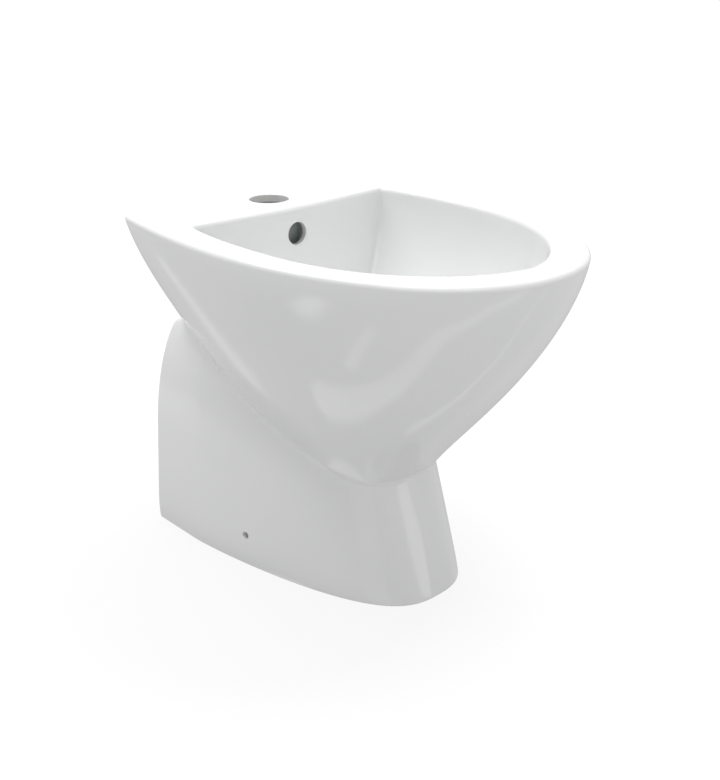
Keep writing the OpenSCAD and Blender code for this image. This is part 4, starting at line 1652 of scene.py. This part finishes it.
    def spring(self) -> bpy.types.Object:
        """Draws the return spring as one wire along its coil.

        Returns:
            The spring.
        """
        wire, (low, high), steps, sides = self.wire_r, self.spring_z, 24, 10
        count = self.coils * steps
        rings = []
        for k in range(count + 1):
            turn, rise = 2 * math.pi * k / steps, low + (high - low) * k / count
            ring = []
            for angle in (2 * math.pi * side / sides for side in range(sides)):
                r = self.coil_r + wire * math.cos(angle)
                x, y = r * math.cos(turn), self.axis_y + r * math.sin(turn)
                ring.append((x, y, rise + wire * math.sin(angle)))
            rings.append(ring)
        return Bench.drawn(rings, "spring_coil")

    def press(self, spring: bpy.types.Object) -> None:
        """Gives the spring its own copy of its mesh.

        Args:
            spring: The spring.
        """
        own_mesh(spring)

    def turnings(self) -> dict[str, tuple[Corner, ...]]:
        """Outlines of the plain turned pieces about the waste's axis.

        Returns:
            The outlines by node.
        """
        fit_r, stem, pipe_in = self.tail_r + self.fit, self.stem_r, self.pipe_in
        case, low, high = self.cartridge
        space, ring = case - 1.4, self.tail_r - 0.3
        seal, dip = self.seal_t, self.dip_low
        top, cone, edge = self.tail_low - seal, self.collar_z, self.nut_r - 1
        loose, piston = stem + 0.08, space - 0.3
        return {
            "flange_seal": washer(self.seat, self.seat_seal, fit_r, self.flange_r - 0.6, 0.5),
            "cone_washer": (
                (fit_r, cone - 11, 0.6), (edge, cone - 11, 0.8), (edge, cone - 7.7, 1.0),
                (25.5, cone, 0.8), (fit_r, cone, 0.4),
            ),
            "slip_washer": washer(self.nut_z + self.nut_h, 1.5, fit_r, edge),
            "click_cartridge": (
                (loose, high, 0.3), (loose, high - 4, 0), (space, high - 4, 0),
                (space, low + 2.5, 0), (1.5, low + 2.5, 0), (1.5, low, 0.3), (case, low, 1.0),
                (case, high - 3, 0), (case + 2, high - 3, 0.4), (case + 2, high, 0.7),
            ),
            "click_plunger": (
                (0, high - 8.3, 0), (piston, high - 8.3, 0.4), (piston, high - 4.3, 0.4),
                (stem, high - 4.3, 0), (stem, self.cap_z, 0.5), (0, self.cap_z, 0),
            ),
            "plug_seal": washer(self.cap_z - 1.8, 1.8, 22.1, 27, 0.7),
            "waste_union_seal": washer(top, seal, pipe_in, ring, 0.5),
            "dip_tube": (
                (pipe_in, dip, 0.5), (self.pipe_r, dip, 0.5), (self.pipe_r, top - 3, 0),
                (ring, top - 3, 0.4), (ring, top, 0.4), (pipe_in, top, 0.4),
            ),
            "bottle_seal": washer(self.neck_z, seal, self.pipe_r + 0.05, self.neck_r, 0.5),
            "cup_seal": washer(self.bottle_low - seal, seal, self.bottle_in, self.bottle_r, 0.5),
        }

    def build(self) -> dict[str, bpy.types.Object]:
        """Builds every piece.

        Returns:
            The pieces by the CAD node that each replaces.
        """
        pieces = {
            node: self._turn(node + "_piece", corners, 72)
            for node, corners in self.turnings().items()
        }
        pieces["click_spring"] = self.spring()
        pieces["waste_body"] = self.waste()
        pieces["back_nut"] = self.back_nut()
        pieces["plug_cap"] = self.cap()
        pieces["trap_bottle"] = self.bottle()
        pieces["trap_cup"] = self.cup()
        pieces["outlet_pipe"] = self.pipe()
        seal = washer(self.spigot_y, self.seal_t, self.pipe_r - 0.35, self.neck_r, 0.5)
        pieces["outlet_seal"] = self._level("outlet_ring", seal, 72)
        tail, neck, y, lip = self.tail_r, self.neck_r, self.axis_y, self.lip
        spigot = (0, self.spigot_y + 2 * lip, self.outlet_z)
        for node, name, radius, at, turn in (
            ("waste_union_nut", "tail_nut", tail, (0, y, self.tail_low - 3 * lip), ORIGIN),
            ("bottle_nut", "neck_nut", neck, (0, y, self.neck_z + 2 * lip), (180, 0, 0)),
            ("outlet_nut", "spigot_nut", neck, spigot, (90, 0, 0)),
        ):
            pieces[node] = self._union_nut(name, radius + self.fit, at, turn)
        return pieces

    def dress(self, pieces: dict[str, bpy.types.Object]) -> None:
        """Finishes each piece and binds it to its body, node and slot.

        Args:
            pieces: The finer pieces by the CAD node that each replaces.
        """
        kinds = (ChromePlate, DrawnWire, GreyPlastic, BlackRubber, MouldedPlastic)
        finishes = {slot: kind().material() for slot, kind in zip(Slot, kinds)}
        sliding = frame["record"]["behaviour"]["bodies"]["plug"]
        slots = {part["node"]: part["material_slot"] for part in frame["record"]["subparts"]}
        for node, piece in pieces.items():
            material = finishes[Slot(slots[node])]
            Bench.smooth(piece)
            piece.data.materials.clear()
            piece.data.materials.append(material)
            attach(piece, "plug" if node in sliding else "bidet")
            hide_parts(node)
            LOG.info("%s: %d faces, %s", node, len(piece.data.polygons), material.name)
        self.press(pieces["click_spring"])


# ---------------------------------------------------------------------------
# Studio
# ---------------------------------------------------------------------------


@dataclass(frozen=True)
class Glow:
    """A bright bar that only the glaze and the metal mirror.

    The ends of a bar below are where its direction meets a plane one unit down. The
    ends of a level bar are degrees from the front, and degrees above the horizon.
    """

    start: Flat
    end: Flat
    width: float
    strength: float
    soft: float


@dataclass
class Studio:
    """Camera, lamps, world and floor."""

    eye: Point = (-752.8, -794.6, 676.0)
    yaw: float = 43.47
    pitch: float = 22.997
    lens: float = 49.505
    shift: Flat = (-0.0104, 0.00154)
    horizon: Flat = (0.22, 0.90)
    zenith: float = 0.76
    # Glow of the floor's painted bounce light near the base and far off; dimmer near as a painted
    # shadow
    bounce: Flat = (0.49, 0.92)
    bounce_at: Point = (0.2, -0.22, 0.0)
    top_watts: float = 47.0
    top_at: Point = (-0.1, 0.7, 2.4)
    top_aim: Point = (0, 0.1, 0.3)
    top_size: Flat = (2.2, 2.2)
    under_band: Flat = (0.0, -0.12)
    rim_band: Flat = (0.75, 1.0)
    horizon_band: Flat = (-1.1, 1.1)
    sky_band: Flat = (0.1, 0.8)
    shadow_band: Flat = (0.20, 0.52)
    bounce_band: Flat = (0.2, 1.1)
    floor_tone: float = 0.50
    floor_glow: float = 1.10
    shadow_share: float = 0.23
    shadow_at: Point = (-0.11, 0.06, 0.0)
    low_level: float = 0.76
    rim_dark: float = 0.22
    floor_solid: float = 0.75
    joined: int = 8
    below: tuple = (
        Glow((-0.33, 0.52), (-0.31, -0.05), 0.17, 0.60, 0.06),
        Glow((-0.31, -0.05), (-0.40, -0.46), 0.17, 0.58, 0.06),
        Glow((-0.40, -0.46), (-0.08, -1.00), 0.15, 0.58, 0.08),
        Glow((-0.08, -1.00), (0.60, -1.52), 0.20, 0.60, 0.12),
        Glow((0.08, 0.02), (0.34, -0.15), 0.045, 0.5, 0.03),
        Glow((0.34, -0.15), (0.50, -0.36), 0.045, 0.5, 0.03),
        Glow((0.50, -0.36), (0.62, -0.66), 0.045, 0.5, 0.03),
        Glow((0.62, -0.66), (1.10, -1.16), 0.055, 0.5, 0.03),
        Glow((-0.78, 0.03), (-0.55, 0.25), 0.09, 0.55, 0.06),
        Glow((-1.14, 0.50), (-1.04, 0.56), 0.26, 1.1, 0.20),
        Glow((-0.05, 2.00), (-0.02, 1.15), 0.16, 0.30, 0.20),
        Glow((-2.60, 3.00), (-2.60, -2.00), 2.40, 0.35, 1.20),
    )
    level: tuple = (
        Glow((-14.0, 3.2), (30.0, -10.6), 6.0, 1.05, 0.6),
        Glow((-66.0, 6.0), (-60.0, -20.0), 22.0, 0.25, 3.0),
        Glow((-46.0, 52.0), (-46.0, 60.0), 80.0, 1.2, 8.0),
    )

    def camera(self) -> None:
        """Adds the camera at the photograph's place."""
        data = bpy.data.cameras.new("camera")
        data.sensor_fit = "AUTO"
        data.sensor_width = 36
        data.lens = self.lens
        data.shift_x, data.shift_y = self.shift
        camera = bpy.data.objects.new("camera", data)
        bpy.context.collection.objects.link(camera)
        camera.location = [v * MM for v in self.eye]
        camera.rotation_euler = (math.radians(90 - self.pitch), 0, math.radians(-self.yaw))
        bpy.context.scene.camera = camera

    def ahead(self) -> Point:
        """Direction in which the camera looks.

        Returns:
            The direction.
        """
        yaw, pitch = math.radians(self.yaw), math.radians(self.pitch)
        level = math.cos(pitch)
        return (math.sin(yaw) * level, math.cos(yaw) * level, -math.sin(pitch))

    @staticmethod
    def rays(graph: Graph, *names: str) -> Wire:
        """Share of the rays that are of one of the named kinds.

        Args:
            graph: Nodes of the world or of a material.
            names: Outputs of the Light Path node.

        Returns:
            The share.
        """
        path = graph.tree.nodes.new("ShaderNodeLightPath")
        share = Wire(graph, path.outputs[names[0]])
        for name in names[1:]:
            share = graph.math("MAXIMUM", share, Wire(graph, path.outputs[name]))
        return share

    @staticmethod
    def bar(graph: Graph, place: Wire, glow: Glow) -> Wire:
        """Brightness of one bar at a place of its plane.

        Args:
            graph: Nodes of the world.
            place: Place as a vector.
            glow: The bar.

        Returns:
            The brightness that the bar adds.
        """
        start, run = Vector((*glow.start, 0)), Vector((*glow.end, 0)) - Vector((*glow.start, 0))
        off = graph.vector("SUBTRACT", place, tuple(start))
        along = graph.vector("DOT_PRODUCT", off, tuple(run), out=1)
        share = graph.math("DIVIDE", along, run.length_squared, clamp=True)
        foot = graph.vector("SCALE", tuple(run), Scale=share)
        away = graph.vector("DISTANCE", off, foot, out=1)
        inner, outer = (glow.width / 2 + side * glow.soft / 2 for side in (-1, 1))
        settings = {"interpolation_type": "SMOOTHSTEP"}
        near = graph.node("ShaderNodeMapRange", settings, away, inner, outer, 1.0, 0.0)
        return near * glow.strength

    def world(self) -> None:
        """Lights the scene softly from all sides, shows white, and mirrors the bars."""
        world = bpy.data.worlds.new("world")
        bpy.context.scene.world = world
        graph = Graph("world", world)
        ray = graph.node("ShaderNodeTexCoord", {}, out=0)
        split = graph.node("ShaderNodeSeparateXYZ", {}, ray).socket.node.outputs
        x, y, z = (Wire(graph, socket) for socket in split)
        down = graph.math("MAXIMUM", 0.0 - z, 0.02)
        flat = graph.vector("SCALE", ray, Scale=1.0 / down)
        flat = graph.vector("MULTIPLY", flat, (1, 1, 0))
        turn = graph.math("ARCTAN2", x, 0.0 - y) * math.degrees(1)
        rise = graph.math("ARCSINE", z) * math.degrees(1)
        level = graph.node("ShaderNodeCombineXYZ", {}, turn, rise, 0.0)
        under = graph.banded(z, *self.under_band)
        bars = self.bar(graph, flat, self.below[0])
        for glow in self.below[1 : self.joined]:
            bars = graph.math("MAXIMUM", bars, self.bar(graph, flat, glow))
        for glow in self.below[self.joined :]:
            bars = bars + self.bar(graph, flat, glow)
        strips = self.bar(graph, level, self.level[0])
        for glow in self.level[1:]:
            strips = strips + self.bar(graph, level, glow)
        ahead = graph.vector("DOT_PRODUCT", ray, self.ahead(), out=1)
        mirrored = 1.0 - (1.0 - self.low_level) * under + bars * under + strips
        mirrored = mirrored - self.rim_dark * graph.banded(ahead, *self.rim_band)
        seen = self.rays(graph, "Is Camera Ray", "Is Transmission Ray")
        glossy = self.rays(graph, "Is Glossy Ray")
        dim, bright = self.horizon
        horizon = dim + (bright - dim) * graph.banded(0.7 * x - y, *self.horizon_band)
        sky = horizon + (self.zenith - horizon) * graph.banded(z, *self.sky_band)
        strength = sky + (1.0 - sky) * seen + (mirrored - sky) * glossy
        background = graph.node("ShaderNodeBackground", {}, (1, 1, 1, 1), strength)
        graph.end("ShaderNodeOutputWorld", background)

    def lamp(self, name: str, at: Point, aim: Point, size: Flat, watts: float) -> None:
        """Adds a soft box.

        Args:
            name: Name of the lamp.
            at: Place in metres.
            aim: Point that it faces, in metres.
            size: Width and height in metres.
            watts: Its power.
        """
        data = bpy.data.lights.new(name, "AREA")
        data.shape = "RECTANGLE"
        data.size, data.size_y = size
        data.energy = watts
        lamp = bpy.data.objects.new(name, data)
        bpy.context.collection.objects.link(lamp)
        lamp.location = at
        lamp.rotation_euler = (Vector(aim) - Vector(at)).to_track_quat("-Z", "Y").to_euler()

    def floor(self) -> None:
        """Adds the floor, which shows as white, keeps a light shadow of the object, and glows for
        the other rays as painted bounce light.
        """
        Bench.clear()
        bpy.ops.mesh.primitive_plane_add(size=40)
        floor = Bench.named("floor")
        Bench.edit()
        bpy.ops.mesh.subdivide(number_cuts=3)
        bpy.ops.object.mode_set(mode="OBJECT")
        graph = Graph("floor_white")
        white, solid = (1, 1, 1, 1), self.floor_solid
        plain = graph.node("ShaderNodeBsdfDiffuse", {}, Color=(*[self.floor_tone] * 3, 1))
        glow = graph.node("ShaderNodeEmission", {}, Color=white, Strength=self.floor_glow)
        far = graph.vector("DISTANCE", graph.place(), self.shadow_at, out=1)
        clean = 1.0 - self.shadow_share * (1.0 - graph.banded(far, *self.shadow_band))
        seen = self.rays(graph, "Is Camera Ray", "Is Transmission Ray")
        # For the other rays the floor glows as painted bounce light, dimmer near the base as a
        # painted shadow under the object
        near, wide = self.bounce
        away = graph.vector("DISTANCE", graph.place(), self.bounce_at, out=1)
        lit = near + (wide - near) * graph.banded(away, *self.bounce_band)
        soft = graph.node("ShaderNodeEmission", {}, Color=white, Strength=lit)
        light = graph.node("ShaderNodeMixShader", {}, seen, soft, glow)
        mixed = graph.node("ShaderNodeMixShader", {}, solid + (clean - solid) * seen, plain, light)
        graph.end("ShaderNodeOutputMaterial", mixed)
        floor.data.materials.append(graph.material)
        # The glaze mirrors the world's white and its bars in place of the floor
        floor.visible_glossy = False

    def build(self) -> None:
        """Sets up the whole studio."""
        bpy.context.scene.view_settings.view_transform = "Standard"
        self.camera()
        self.world()
        self.floor()
        self.lamp("top_box", self.top_at, self.top_aim, self.top_size, self.top_watts)


def main() -> None:
    """Builds the scene and reports each piece."""
    logging.basicConfig(level=logging.INFO, format="%(name)s: %(message)s")
    Studio().build()
    body = ChinaBody()
    china = body.build()
    body.dress(china)
    LOG.info("%s: %d faces", china.name, len(china.data.polygons))
    plumbing = Plumbing()
    plumbing.dress(plumbing.build())
    Bench.clear()


if __name__ == "__main__":
    main()
